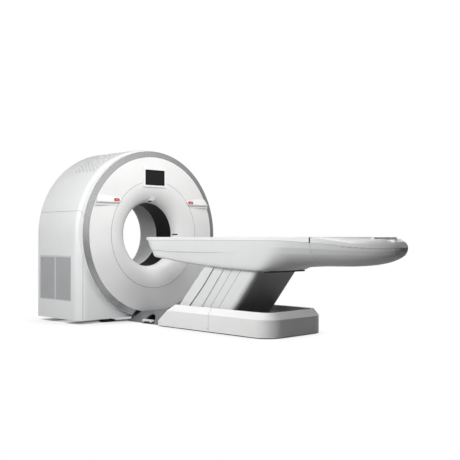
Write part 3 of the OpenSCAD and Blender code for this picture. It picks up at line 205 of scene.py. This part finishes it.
def screen_material():
    """Dark glass whose lit field is a shade paler than its edge."""
    m, t, sh, ramp = surface("screen_glass", (0.009, 0.009, 0.010), 0.3, spread=0.03, spec=0.2)
    def inside(sock, centre, half):
        a = add(t, "ShaderNodeMath", operation="SUBTRACT")
        t.links.new(sock, a.inputs[0])
        a.inputs[1].default_value = centre
        b = add(t, "ShaderNodeMath", operation="ABSOLUTE")
        t.links.new(a.outputs[0], b.inputs[0])
        c = add(t, "ShaderNodeMath", operation="LESS_THAN")
        t.links.new(b.outputs[0], c.inputs[0])
        c.inputs[1].default_value = half
        return c.outputs[0]

    both = add(t, "ShaderNodeMath", operation="MULTIPLY")
    link(t, (inside(normal_axis(t, "X", "Position"), 0.0, 0.121), both.inputs[0]),
         (inside(normal_axis(t, "Z", "Position"), 1.547, 0.071), both.inputs[1]))
    two_tone(t, sh, ramp, both.outputs[0], (0.004, 0.004, 0.005))
    return m


def painted_shade_rear_material():
    """Column rear: painted shade, dark grey on the back face that turns away from the lamps, light
    grey past the rounded edges.
    """
    m, t, sh, ramp = surface("column_rear_painted_shade", (0.77, 0.775, 0.78), 0.42, spread=0.012)
    a = add(t, "ShaderNodeMath", operation="ABSOLUTE")
    t.links.new(normal_axis(t, "X"), a.inputs[0])
    # Painted shade: faces turned back, away from the sides, take the dark grey instead of the light
    # grey.
    two_tone(t, sh, ramp, ranged(t, a.outputs[0], 0.55, 0.96), (0.36, 0.36, 0.365))
    return m


def funnel_painted_shade_material():
    """Back funnel: satin white with painted shade, greying towards the crown of the bore where the
    surface faces down.
    """
    m, t, sh, ramp = surface("back_funnel", (0.76, 0.765, 0.77), 0.5, spread=0.012)
    # Painted shade: the colour darkens to grey as the surface's normal turns downward.
    two_tone(t, sh, ramp, ranged(t, normal_axis(t, "Z"), -1.0, 0.35), (0.20, 0.20, 0.205))
    return m


screen_glass = screen_material()
back_funnel_painted_shade = funnel_painted_shade_material()
column_rear_painted_shade = painted_shade_rear_material()

look = {
    "gantry_base_frame": frame_paint, "anchor_feet": black_matte, "stator_frame": frame_paint,
    "bearing_outer_ring": steel, "bearing_inner_ring": steel, "rotor_drum": alloy,
    "xray_tube": bronze, "collimator": unit_paint, "detector_arc": black_matte,
    "hv_generator": unit_paint, "heat_exchanger": alloy, "counterweight": iron,
    "slip_ring": brass, "brush_block": black_matte, "drive_motor": frame_paint,
    "drive_pulley": steel, "drive_belt": rubber, "power_cabinet": unit_paint,
    "top_shell": shell_white, "side_cover_left": shell_white, "side_cover_right": shell_white,
    "side_grille_left": grille_paint, "side_grille_right": grille_paint, "front_rim": white,
    "trim_ring": ring_metal, "front_cover_upper": cover_white, "front_cover_lower": white,
    "front_funnel": white, "scan_window": black_gloss, "back_funnel": back_funnel_painted_shade,
    "back_cover": shell_white, "screen_bezel": white, "screen": screen_glass, "estop_left": red,
    "estop_right": red, "laser_windows": lens, "bridge_frame": frame_paint,
    "bridge_cover": bridge, "foot_pedal_left": white, "foot_pedal_right": white,
    "table_base_frame": frame_paint, "base_cover_front": base_white,
    "base_cover_rear": base_white, "lower_pins": steel, "lift_gearmotor": frame_paint,
    "front_link": steel, "front_column_cover": panel, "side_panel_1": panel,
    "side_panel_2": panel, "side_panel_3": panel, "rear_link": steel,
    "rear_column_cover": column_rear_painted_shade, "top_frame": frame_paint, "pivot_brackets": frame_paint,
    "hull_front": hull_white, "hull_rear": hull_white, "top_rim": white, "foot_end_cover": white,
    "cradle_rails": steel, "cradle": white,
}
for n, o in nodes.items():
    o.data.materials.clear()
    o.data.materials.append(look[n])


# Small pieces

def piece(name, bm, mat, body, smooth=True):
    me = bpy.data.meshes.new(name)
    bm.normal_update()
    bm.to_mesh(me)
    bm.free()
    if smooth:
        for p in me.polygons:
            p.use_smooth = True
    me.materials.append(mat)
    o = bpy.data.objects.new(name, me)
    bpy.context.scene.collection.objects.link(o)
    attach(o, body)
    return o


def steps(a, b, n):
    """n + 1 even values from a to b."""
    return [a + (b - a) * i / n for i in range(n + 1)]


def between(bm, r0, r1, closed=True):
    """Quads between two rows of points."""
    n = len(r0)
    for i in range(n if closed else n - 1):
        j = (i + 1) % n
        bm.faces.new((r0[i], r0[j], r1[j], r1[i]))


# Seam lines and small marks

def skin(names):
    """The named nodes' faces as one tree for ray casts, with the node that each face belongs to."""
    verts, polys, owner = [], [], []
    for n in names:
        o, base = nodes[n], len(verts)
        verts.extend(o.matrix_world @ v.co for v in o.data.vertices)
        for p in o.data.polygons:
            polys.append([base + i for i in p.vertices])
            owner.append(n)
    return BVHTree.FromPolygons(verts, polys), owner


def trace(sk, rays, allowed, shift=(0, 0, 0)):
    """Runs of surface points under the rays. A ray is cast a little beside the seam's own gap."""
    tree, owner = sk
    shift = Vector(shift)
    runs, run = [], []
    for start, aim in rays:
        aim = Vector(aim).normalized()
        loc, nrm, idx, _ = tree.ray_cast(Vector(start) + shift, aim)
        if loc is not None and owner[idx] in allowed:
            if nrm.dot(aim) > 0:
                nrm = -nrm
            run.append((loc - shift, nrm))
        else:
            if len(run) > 1:
                runs.append(run)
            run = []
    if len(run) > 1:
        runs.append(run)
    return runs


def ribbon(name, runs, width, mat, body, lift=0.0003, sink=0.0008):
    """A thin strip with a rectangular section, laid along each run of (point, normal)."""
    bm = bmesh.new()
    for run in runs:
        rows = []
        n = len(run)
        closed = n > 8 and (run[0][0] - run[-1][0]).length < 1e-6
        if closed:
            run = run[:-1]
            n -= 1
        for i, (p, nrm) in enumerate(run):
            before = run[i - 1][0] if i or closed else p
            after = run[(i + 1) % n][0] if i < n - 1 or closed else p
            side = nrm.cross(after - before)
            if side.length < 1e-9:
                continue
            side = side.normalized() * width / 2
            rows.append([bm.verts.new(p + side * k + nrm * h)
                         for k, h in ((-1, -sink), (-1, lift), (1, lift), (1, -sink))])
        last = len(rows) if closed else len(rows) - 1
        for i in range(last):
            between(bm, rows[i], rows[(i + 1) % len(rows)])
        if not closed:
            bm.faces.new(rows[0][::-1])
            bm.faces.new(rows[-1])
    bmesh.ops.recalc_face_normals(bm, faces=bm.faces)
    return piece(name, bm, mat, body, smooth=False)


def lookup(table, y):
    """The table's value at y, on straight lines between its rows."""
    for (y0, z0), (y1, z1) in zip(table, table[1:]):
        if y <= y1:
            return z0 + (z1 - z0) * max(0.0, (y - y0)) / (y1 - y0)
    return table[-1][1]


def gantry_lines():
    """Seams round the funnel, across the face and round the side covers."""
    sk = skin(["front_cover_upper", "front_cover_lower", "front_funnel", "screen_bezel", "screen",
               "trim_ring", "estop_left", "estop_right"])
    covers = {"front_cover_upper", "front_cover_lower"}
    r = 0.584 + 0.0012  # the funnel's rim and a step beside its gap
    ring = [((r * math.cos(a), -0.9, ISO + r * math.sin(a)), (0, 1, 0))
            for a in steps(0, 2 * math.pi, 240)]
    ribbon("funnel_seam", trace(sk, ring, covers), 0.003, seam_dark, "base")
    z = ISO + 0.303  # the gap between the upper and the lower front cover
    runs = []
    for side in (-1, 1):
        rays = [((side * x, -0.9, z), (0, 1, 0)) for x in steps(0.505, 0.786, 20)]
        runs += trace(sk, rays, covers, (0, 0, -0.001))
    ribbon("face_seam", runs, 0.0025, seam_grey, "base")

    # The side covers' seam runs forward, turns down round a soft corner and meets the front.
    half, rr, fy = 0.932, 0.1, -0.4  # half width, front rounding, front face
    z1, end, turn = ISO + 0.240, 0.107, 0.045  # the seam's height, its end and its corner

    def on_shell(side, s, zz):
        """s runs forward from where the front rounding starts."""
        if s <= 0:
            return (Vector((side * half, fy + rr - s, zz)), Vector((side, 0, 0)))
        f = s / rr
        n = Vector((side * math.cos(f), -math.sin(f), 0))
        return (Vector((side * (half - rr), fy + rr, zz)) + n * rr, n)

    outside = {"top_shell", "side_cover_left", "side_cover_right", "front_rim"}
    shell = skin(sorted(outside))
    runs = []
    for side in (-1, 1):
        run = [on_shell(side, s, z1) for s in steps(-0.675, end - turn, 30)]
        run += [on_shell(side, end - turn + turn * math.sin(a), z1 - turn + turn * math.cos(a))
                for a in steps(0.15, math.pi / 2, 8)]
        run += [on_shell(side, end, zz) for zz in steps(z1 - turn - 0.02, 0.045, 12)]
        rays = [(p + n * 0.1, -n) for p, n in run]
        runs += trace(shell, rays, outside, (0, 0, -0.004))
    ribbon("side_cover_seams", runs, 0.0028, seam_grey, "base", lift=0.0002)


# Height of the hull's band line along the table
SEAM_Z = [(-3.64, 0.805), (-3.525, 0.805), (-3.38, 0.809), (-3.285, 0.817), (-3.135, 0.833),
          (-2.945, 0.847), (-2.70, 0.861), (-2.51, 0.865), (-0.60, 0.865)]


def table_lines():
    """The band line round the hull and the joint between its halves and across the deck."""
    sk = skin(["hull_front", "hull_rear", "top_rim", "foot_end_cover", "cradle"])
    hulls = {"hull_front", "hull_rear"}
    runs = []
    for side in (-1, 1):
        rays = [((side * 1.0, y, lookup(SEAM_Z, y)), (-side, 0, 0))
                for y in steps(-0.80, -3.40, 80)]
        runs += trace(sk, rays, hulls, (0, 0, -0.0025))
    tail = []
    for a in steps(math.radians(-118), math.radians(118), 60):
        c, d = math.sin(a), -math.cos(a)
        y = -3.40 + 0.22 * d
        tail.append((Vector((c * 1.0, -3.33 + d * 1.0, lookup(SEAM_Z, y))), (-c, -d, 0)))
    runs += trace(sk, tail, hulls, (0, 0, -0.0025))
    ribbon("hull_band_line", runs, 0.0022, seam_grey, "table_top")

    y, beside = -2.9112, (0, -0.0008, 0)
    joint = []
    for a in steps(math.radians(-8), math.radians(188), 90):
        c, d = math.cos(a), -math.sin(a)
        joint.append(((c, y, 0.855 + d), (-c, 0, -d)))
    deck = [((x, y, 1.2), (0, 0, -1)) for x in steps(-0.322, 0.322, 60)]
    runs = trace(sk, joint, {"hull_rear", "foot_end_cover"}, beside)
    runs += trace(sk, deck, {"foot_end_cover"}, beside)
    ribbon("hull_joint_line", runs, 0.0020, seam_grey, "table_top")


def base_lines():
    """The joint between the halves of the table's base cover."""
    y = -1.750
    runs = []
    for side in (-1, 1):
        for a, b, n in (((0.4, 0.010), (0.4, 0.165), (side, 0, 0)),
                        ((0.4, 0.165), (0.355, 0.225), (side * 0.8, 0, 0.6)),
                        ((0.355, 0.225), (0.331, 0.225), (0, 0, 1))):
            runs.append([(Vector((side * x, y, z)), Vector(n)) for x, z in (a, b)])
    ribbon("base_seam_line", runs, 0.0026, seam_grey, "base", lift=0.0002)


def on_column(x, back, u, v):
    """A point on a link: back behind the front pivot, u up the link, v across it."""
    return Vector((x, PIVOT.y - back - u * math.sin(LEAN) + v * math.cos(LEAN),
                   PIVOT.z + u * math.cos(LEAN) + v * math.sin(LEAN)))


def column_lines():
    """Shadow lines along the edges of the column's layers."""
    def edge(name, body, x, back, uv, width, mat):
        runs = []
        for side in (-1, 1):
            runs.append([(on_column(side * x, back, u, v), Vector((side, 0, 0))) for u, v in uv])
        ribbon(name, runs, width, mat, body)

    def v_cover_edge(u):
        return 0.006 - 0.039 * u / 0.42 if u < 0.42 else -0.033

    shadow_gap_path = [(u, v_cover_edge(u) + 0.003) for u in steps(0.031, 0.649, 24)]
    low = [(u, -0.0475) for u in steps(0.03, 0.64, 4)]
    high = [(u, 0.0575) for u in steps(0.03, 0.64, 4)]
    rear = [(u, 0.0895) for u in steps(0.052, 0.69, 4)]
    # Painted shade: a black strip along the front cover's rear edge stands for the shadow gap
    # behind it.
    edge("front_cover_shadow_gap", "front_link", 0.285, 0.0, shadow_gap_path, 0.0065, shadow_gap_black)
    edge("panel_1_line", "panel_1", 0.279, 0.115, low, 0.0022, seam_dark)
    edge("panel_3_line", "panel_3", 0.279, 0.369, high, 0.0032, seam_dark)
    edge("rear_cover_line", "rear_link", 0.285, 0.530, rear, 0.0032, seam_dark)


def perforated(name, side, mat):
    """A side grille as a thin sheet with two fields of staggered holes and plain borders."""
    y0, y1, z0, z1 = -0.2497, 0.3597, 0.2323, 0.7017  # the sheet's box
    xf, xb = side * 0.931, side * 0.928  # its outer and inner face
    pitch, row, r = 0.0216, 0.0108, 0.0056  # along a row, between rows, a hole's radius
    edge, mid = 0.008, 0.008  # border, half of the middle bar
    bm = bmesh.new()

    def quad(a, b, c, d):
        bm.faces.new([bm.verts.new(v) for v in (a, b, c, d)])

    def bar(ya, yb, za, zb):
        for x in (xf, xb):
            quad((x, ya, za), (x, yb, za), (x, yb, zb), (x, ya, zb))

    ym = (y0 + y1) / 2
    fields = [(y0 + edge, ym - mid), (ym + mid, y1 - edge)]
    rows = int((z1 - z0 - 2 * edge) / row)
    zt = z0 + edge + rows * row
    bar(y0, y1, z0, z0 + edge)
    bar(y0, y1, zt, z1)
    bar(y0, y0 + edge, z0 + edge, zt)
    bar(ym - mid, ym + mid, z0 + edge, zt)
    bar(y1 - edge, y1, z0 + edge, zt)
    rim = [(y0, z0), (y1, z0), (y1, z1), (y0, z1)]
    for a, b in zip(rim, rim[1:] + rim[:1]):
        quad((xf, *a), (xf, *b), (xb, *b), (xb, *a))
    corners = [math.radians(45 * k) for k in range(8)]

    def cell(cy, cz, hy0, hy1, h):
        """One hole with its share of sheet, hy0 behind, hy1 ahead and h above and below."""
        outer, inner = [], []
        for a in corners:
            c, d = round(math.cos(a), 3), round(math.sin(a), 3)
            oy = cy + (hy1 if c > 0 else -hy0 if c < 0 else 0.0)
            oz = cz + (h if d > 0 else -h if d < 0 else 0.0)
            outer.append((oy, oz))
            inner.append((cy + r * math.cos(a), cz + r * math.sin(a)))
        rings = [[bm.verts.new((x, *p)) for p in pts]
                 for pts, x in ((outer, xf), (inner, xf), (inner, xb), (outer, xb))]
        for r0, r1 in zip(rings, rings[1:]):
            between(bm, r0, r1)

    for fa, fb in fields:
        n = int((fb - fa) / pitch)
        step = (fb - fa) / (n + 0.5)
        for j in range(rows):
            cz = z0 + edge + (j + 0.5) * row
            off = (j % 2) * step / 2
            for i in range(n):
                lo = step / 2 + (off if i == 0 else 0.0)
                hi = step / 2 + (step / 2 - off if i == n - 1 else 0.0)
                cell(fa + off + (i + 0.5) * step, cz, lo, hi, row / 2)
    bmesh.ops.recalc_face_normals(bm, faces=bm.faces)
    return piece(name, bm, mat, "base", smooth=False)


def dark_backs():
    """Painted shade: black sheets just behind the grilles and just inside the slots of the top
    shell, standing for the shade inside the openings.
    """
    bm = bmesh.new()
    for side in (-1, 1):
        rows = [[bm.verts.new((side * 0.9262, y, z)) for y in steps(-0.246, 0.356, 8)]
                for z in steps(0.236, 0.698, 8)]
        for r0, r1 in zip(rows, rows[1:]):
            between(bm, r0, r1, closed=False)
    piece("grille_shade_sheet", bm, black_matte, "base", smooth=False)
    bm = bmesh.new()
    r = 0.9306
    cols = steps(-0.262, 0.148, 4)
    rows = []
    for a in steps(math.radians(90 - 48), math.radians(90 + 48), 64):
        rows.append([bm.verts.new((r * math.cos(a), y, ISO + r * math.sin(a))) for y in cols])
    for r0, r1 in zip(rows, rows[1:]):
        between(bm, r0, r1, closed=False)
    piece("vent_shade_sheet", bm, shade_sheet_black, "base")


def stop_marks():
    """A pale ring on each emergency stop."""
    r = 0.0085
    for side, body in ((-1, "estop_left"), (1, "estop_right")):
        sk = skin([body])
        mid = estop_mid(body)
        rays = [((side * 0.518 + 1.25 * r * math.cos(a), -0.9, mid + r * math.sin(a)), (0, 1, 0))
                for a in steps(0, 2 * math.pi, 24)]
        runs = trace(sk, rays, {body})
        ribbon(body + "_mark", runs, 0.0032, pale_mark, body, lift=0.0004, sink=0.0002)


def estop_mid(body):
    """Mean height of the button's foremost points."""
    pts = [nodes[body].matrix_world @ v.co for v in nodes[body].data.vertices]
    front = min(q.y for q in pts) + 0.006
    zs = [q.z for q in pts if q.y < front]
    return sum(zs) / len(zs)


def skirt_lip():
    """A dark stop plate under the hull, behind the column."""
    bm = bmesh.new()
    prof = [(-2.315, 0.586), (-2.400, 0.590), (-2.400, 0.580), (-2.392, 0.5755), (-2.315, 0.5735)]
    rows = []
    for x, back in ((-0.235, 0.0), (-0.228, 0.003), (0.228, 0.003), (0.235, 0.0)):
        rows.append([bm.verts.new((x, y - (back if y < -2.39 else 0.0), z)) for y, z in prof])
    for r0, r1 in zip(rows, rows[1:]):
        between(bm, r0, r1)
    bm.faces.new(rows[0][::-1])
    bm.faces.new(rows[-1])
    bmesh.ops.recalc_face_normals(bm, faces=bm.faces)
    piece("hull_stop_plate", bm, black_matte, "table_top", smooth=False)


def screw(bm, centre, normal, r):
    """A countersunk screw head: dished rim, flat head and a cross-wise slot."""
    z = Vector(normal).normalized()
    rot = z.to_track_quat("Z", "Y").to_matrix().to_4x4()
    at = Matrix.Translation(Vector(centre)) @ rot
    prof = [(r, 0.0), (r * 0.92, 0.0005), (r * 0.8, 0.0002), (r * 0.72, -0.0004),
            (r * 0.25, -0.0004)]
    rows = [[bm.verts.new(at @ Vector((pr * math.cos(a), pr * math.sin(a), h)))
             for a in steps(0, 2 * math.pi, 20)[:-1]] for pr, h in prof]
    for r0, r1 in zip(rows, rows[1:]):
        between(bm, r0, r1)
    tip = bm.verts.new(at @ Vector((0, 0, -0.0012)))
    for a, b in zip(rows[-1], rows[-1][1:] + rows[-1][:1]):
        bm.faces.new((a, b, tip))


def screws():
    """Screws on the base cover's sides and the column's rear cover."""
    bm = bmesh.new()
    for side in (-1, 1):
        for y, z in ((-1.742, 0.038), (-1.042, 0.036)):
            screw(bm, (side * 0.4002, y, z), (side, 0, 0), 0.0055)
    piece("base_screws", bm, black_matte, "base", smooth=False)
    bm = bmesh.new()
    back = Vector((0, -math.cos(LEAN), -math.sin(LEAN)))
    for x in (-0.21, 0.21):
        screw(bm, on_column(x, 0.530, 0.21, -0.0822), back, 0.004)
    piece("rear_cover_screws", bm, black_matte, "rear_link", smooth=False)


# Floor, world, lamps and camera

def floor():
    """A white floor with a painted soft contact shadow, its camera-seen glow darkened by ambient
    occlusion, and a dim bounce on the object.
    """
    bm = bmesh.new()
    bmesh.ops.create_grid(bm, x_segments=1, y_segments=1, size=60)
    me = bpy.data.meshes.new("floor")
    bm.to_mesh(me)
    bm.free()
    o = bpy.data.objects.new("floor", me)
    bpy.context.scene.collection.objects.link(o)
    m = bpy.data.materials.new("floor")
    m.use_nodes = True
    t = m.node_tree
    t.nodes.clear()
    out = add(t, "ShaderNodeOutputMaterial")
    # Painted shadow: the glow the camera sees darkens through this ramp where ambient occlusion
    # finds the object close above.
    ao = add(t, "ShaderNodeAmbientOcclusion", samples=16)
    ao.inputs["Distance"].default_value = 0.45
    ramp = add(t, "ShaderNodeValToRGB")
    painted_shadow_stops = ((0.0, 0.02), (0.22, 0.10), (0.42, 0.52), (0.60, 0.90), (0.85, 1.0))
    el = ramp.color_ramp.elements
    while len(el) < len(painted_shadow_stops):
        el.new(0.5)
    for e, (pos, v) in zip(el, painted_shadow_stops):
        e.position = pos
        e.color = (v, v, v, 1)
    t.links.new(ao.outputs["AO"], ramp.inputs[0])
    em = add(t, "ShaderNodeEmission")
    t.links.new(ramp.outputs[0], em.inputs["Color"])
    low = add(t, "ShaderNodeBsdfDiffuse")
    low.inputs["Color"].default_value = (0.30, 0.30, 0.30, 1)
    mix = add(t, "ShaderNodeMixShader")
    link(t, (background_rays(t, 0.22), mix.inputs[0]), (low.outputs[0], mix.inputs[1]),
         (em.outputs[0], mix.inputs[2]), (mix.outputs[0], out.inputs[0]))
    me.materials.append(m)


def world():
    """White to the camera, a graded white to gloss, and a faint even light on the object."""
    w = bpy.data.worlds.new("studio")
    bpy.context.scene.world = w
    w.use_nodes = True
    t = w.node_tree
    t.nodes.clear()
    out = add(t, "ShaderNodeOutputWorld")
    cam = add(t, "ShaderNodeBackground")
    cam.inputs["Color"].default_value = (1, 1, 1, 1)
    cam.inputs["Strength"].default_value = 1.0
    amb = add(t, "ShaderNodeBackground")
    amb.inputs["Strength"].default_value = 0.03
    co = add(t, "ShaderNodeTexCoord")
    sep = add(t, "ShaderNodeSeparateXYZ")
    t.links.new(co.outputs["Generated"], sep.inputs[0])
    ahead = add(t, "ShaderNodeMath", operation="MULTIPLY", use_clamp=True)
    t.links.new(sep.outputs["Y"], ahead.inputs[0])
    ahead.inputs[1].default_value = -1.0
    curve = add(t, "ShaderNodeMath", operation="POWER")
    t.links.new(ahead.outputs[0], curve.inputs[0])
    curve.inputs[1].default_value = 1.2
    above = add(t, "ShaderNodeMath", operation="MULTIPLY", use_clamp=True)
    t.links.new(sep.outputs["Z"], above.inputs[0])
    above.inputs[1].default_value = 0.3
    rest = add(t, "ShaderNodeMath", operation="ADD")
    t.links.new(above.outputs[0], rest.inputs[0])
    rest.inputs[1].default_value = 0.09
    level = add(t, "ShaderNodeMath", operation="MULTIPLY_ADD")
    t.links.new(curve.outputs[0], level.inputs[0])
    level.inputs[1].default_value = 0.89
    t.links.new(rest.outputs[0], level.inputs[2])
    mix = add(t, "ShaderNodeMixShader")
    link(t, (background_rays(t, level.outputs[0]), mix.inputs[0]), (amb.outputs[0], mix.inputs[1]),
         (cam.outputs[0], mix.inputs[2]), (mix.outputs[0], out.inputs[0]))


def area(name, pos, target, size, power, size_y, mirror=True):
    """An area lamp at pos that faces target. mirror: whether gloss shows it."""
    d = bpy.data.lights.new(name, "AREA")
    d.energy = power
    d.shape = "RECTANGLE"
    d.size = size
    d.size_y = size_y
    o = bpy.data.objects.new(name, d)
    bpy.context.scene.collection.objects.link(o)
    o.visible_glossy = mirror
    o.location = pos
    o.rotation_euler = (Vector(target) - Vector(pos)).to_track_quat("-Z", "Y").to_euler()


def camera():
    """The photograph's own viewpoint."""
    az, el = math.radians(-44.7056), math.radians(-0.5233)
    back = Vector((math.sin(az) * math.cos(el), -math.cos(az) * math.cos(el), math.sin(el)))
    right = Vector((math.cos(az), math.sin(az), 0))
    up = back.cross(right)
    d = bpy.data.cameras.new("camera")
    d.sensor_fit = "HORIZONTAL"
    d.sensor_width = 36.0
    d.lens = 764.08 / 460 * 36.0
    d.dof.use_dof = False
    o = bpy.data.objects.new("camera", d)
    bpy.context.scene.collection.objects.link(o)
    m = Matrix((right, up, back)).transposed().to_4x4()
    m.translation = Vector((-5.3106, -7.0025, 0.8972))
    o.matrix_world = m
    bpy.context.scene.camera = o


gantry_lines()
table_lines()
base_lines()
column_lines()
screws()
for side, n in ((-1, "side_grille_left"), (1, "side_grille_right")):
    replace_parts(perforated(n + "_sheet", side, grille_paint), n)
dark_backs()
stop_marks()
skirt_lip()
floor()
world()
area("gantry_side", (-5.0, 1.2, 2.0), (-0.5, 0.2, 0.9), 3.0, 82, 3.0)
area("front_left", (-3.0, -2.3, 2.6), (0, -0.4, 1.0), 2.0, 95, 2.0)
area("front_high", (0.0, -2.3, 3.6), (0, -0.4, 1.0), 2.5, 62, 1.2, mirror=False)
area("front_right", (2.6, -2.3, 2.2), (0, -0.4, 1.0), 2.0, 30, 2.0, mirror=False)
area("overhead", (0.0, -1.4, 5.2), (0, -1.4, 0.8), 3.5, 26, 5.0, mirror=False)
area("behind", (2.2, 4.6, 2.6), (0, 0.1, 0.9), 3.0, 150, 2.5, mirror=False)
area("low_left", (-5.0, -2.6, 0.7), (0, -1.9, 0.5), 2.5, 10, 1.2, mirror=False)
camera()

s = bpy.context.scene
s.view_settings.view_transform = "Standard"
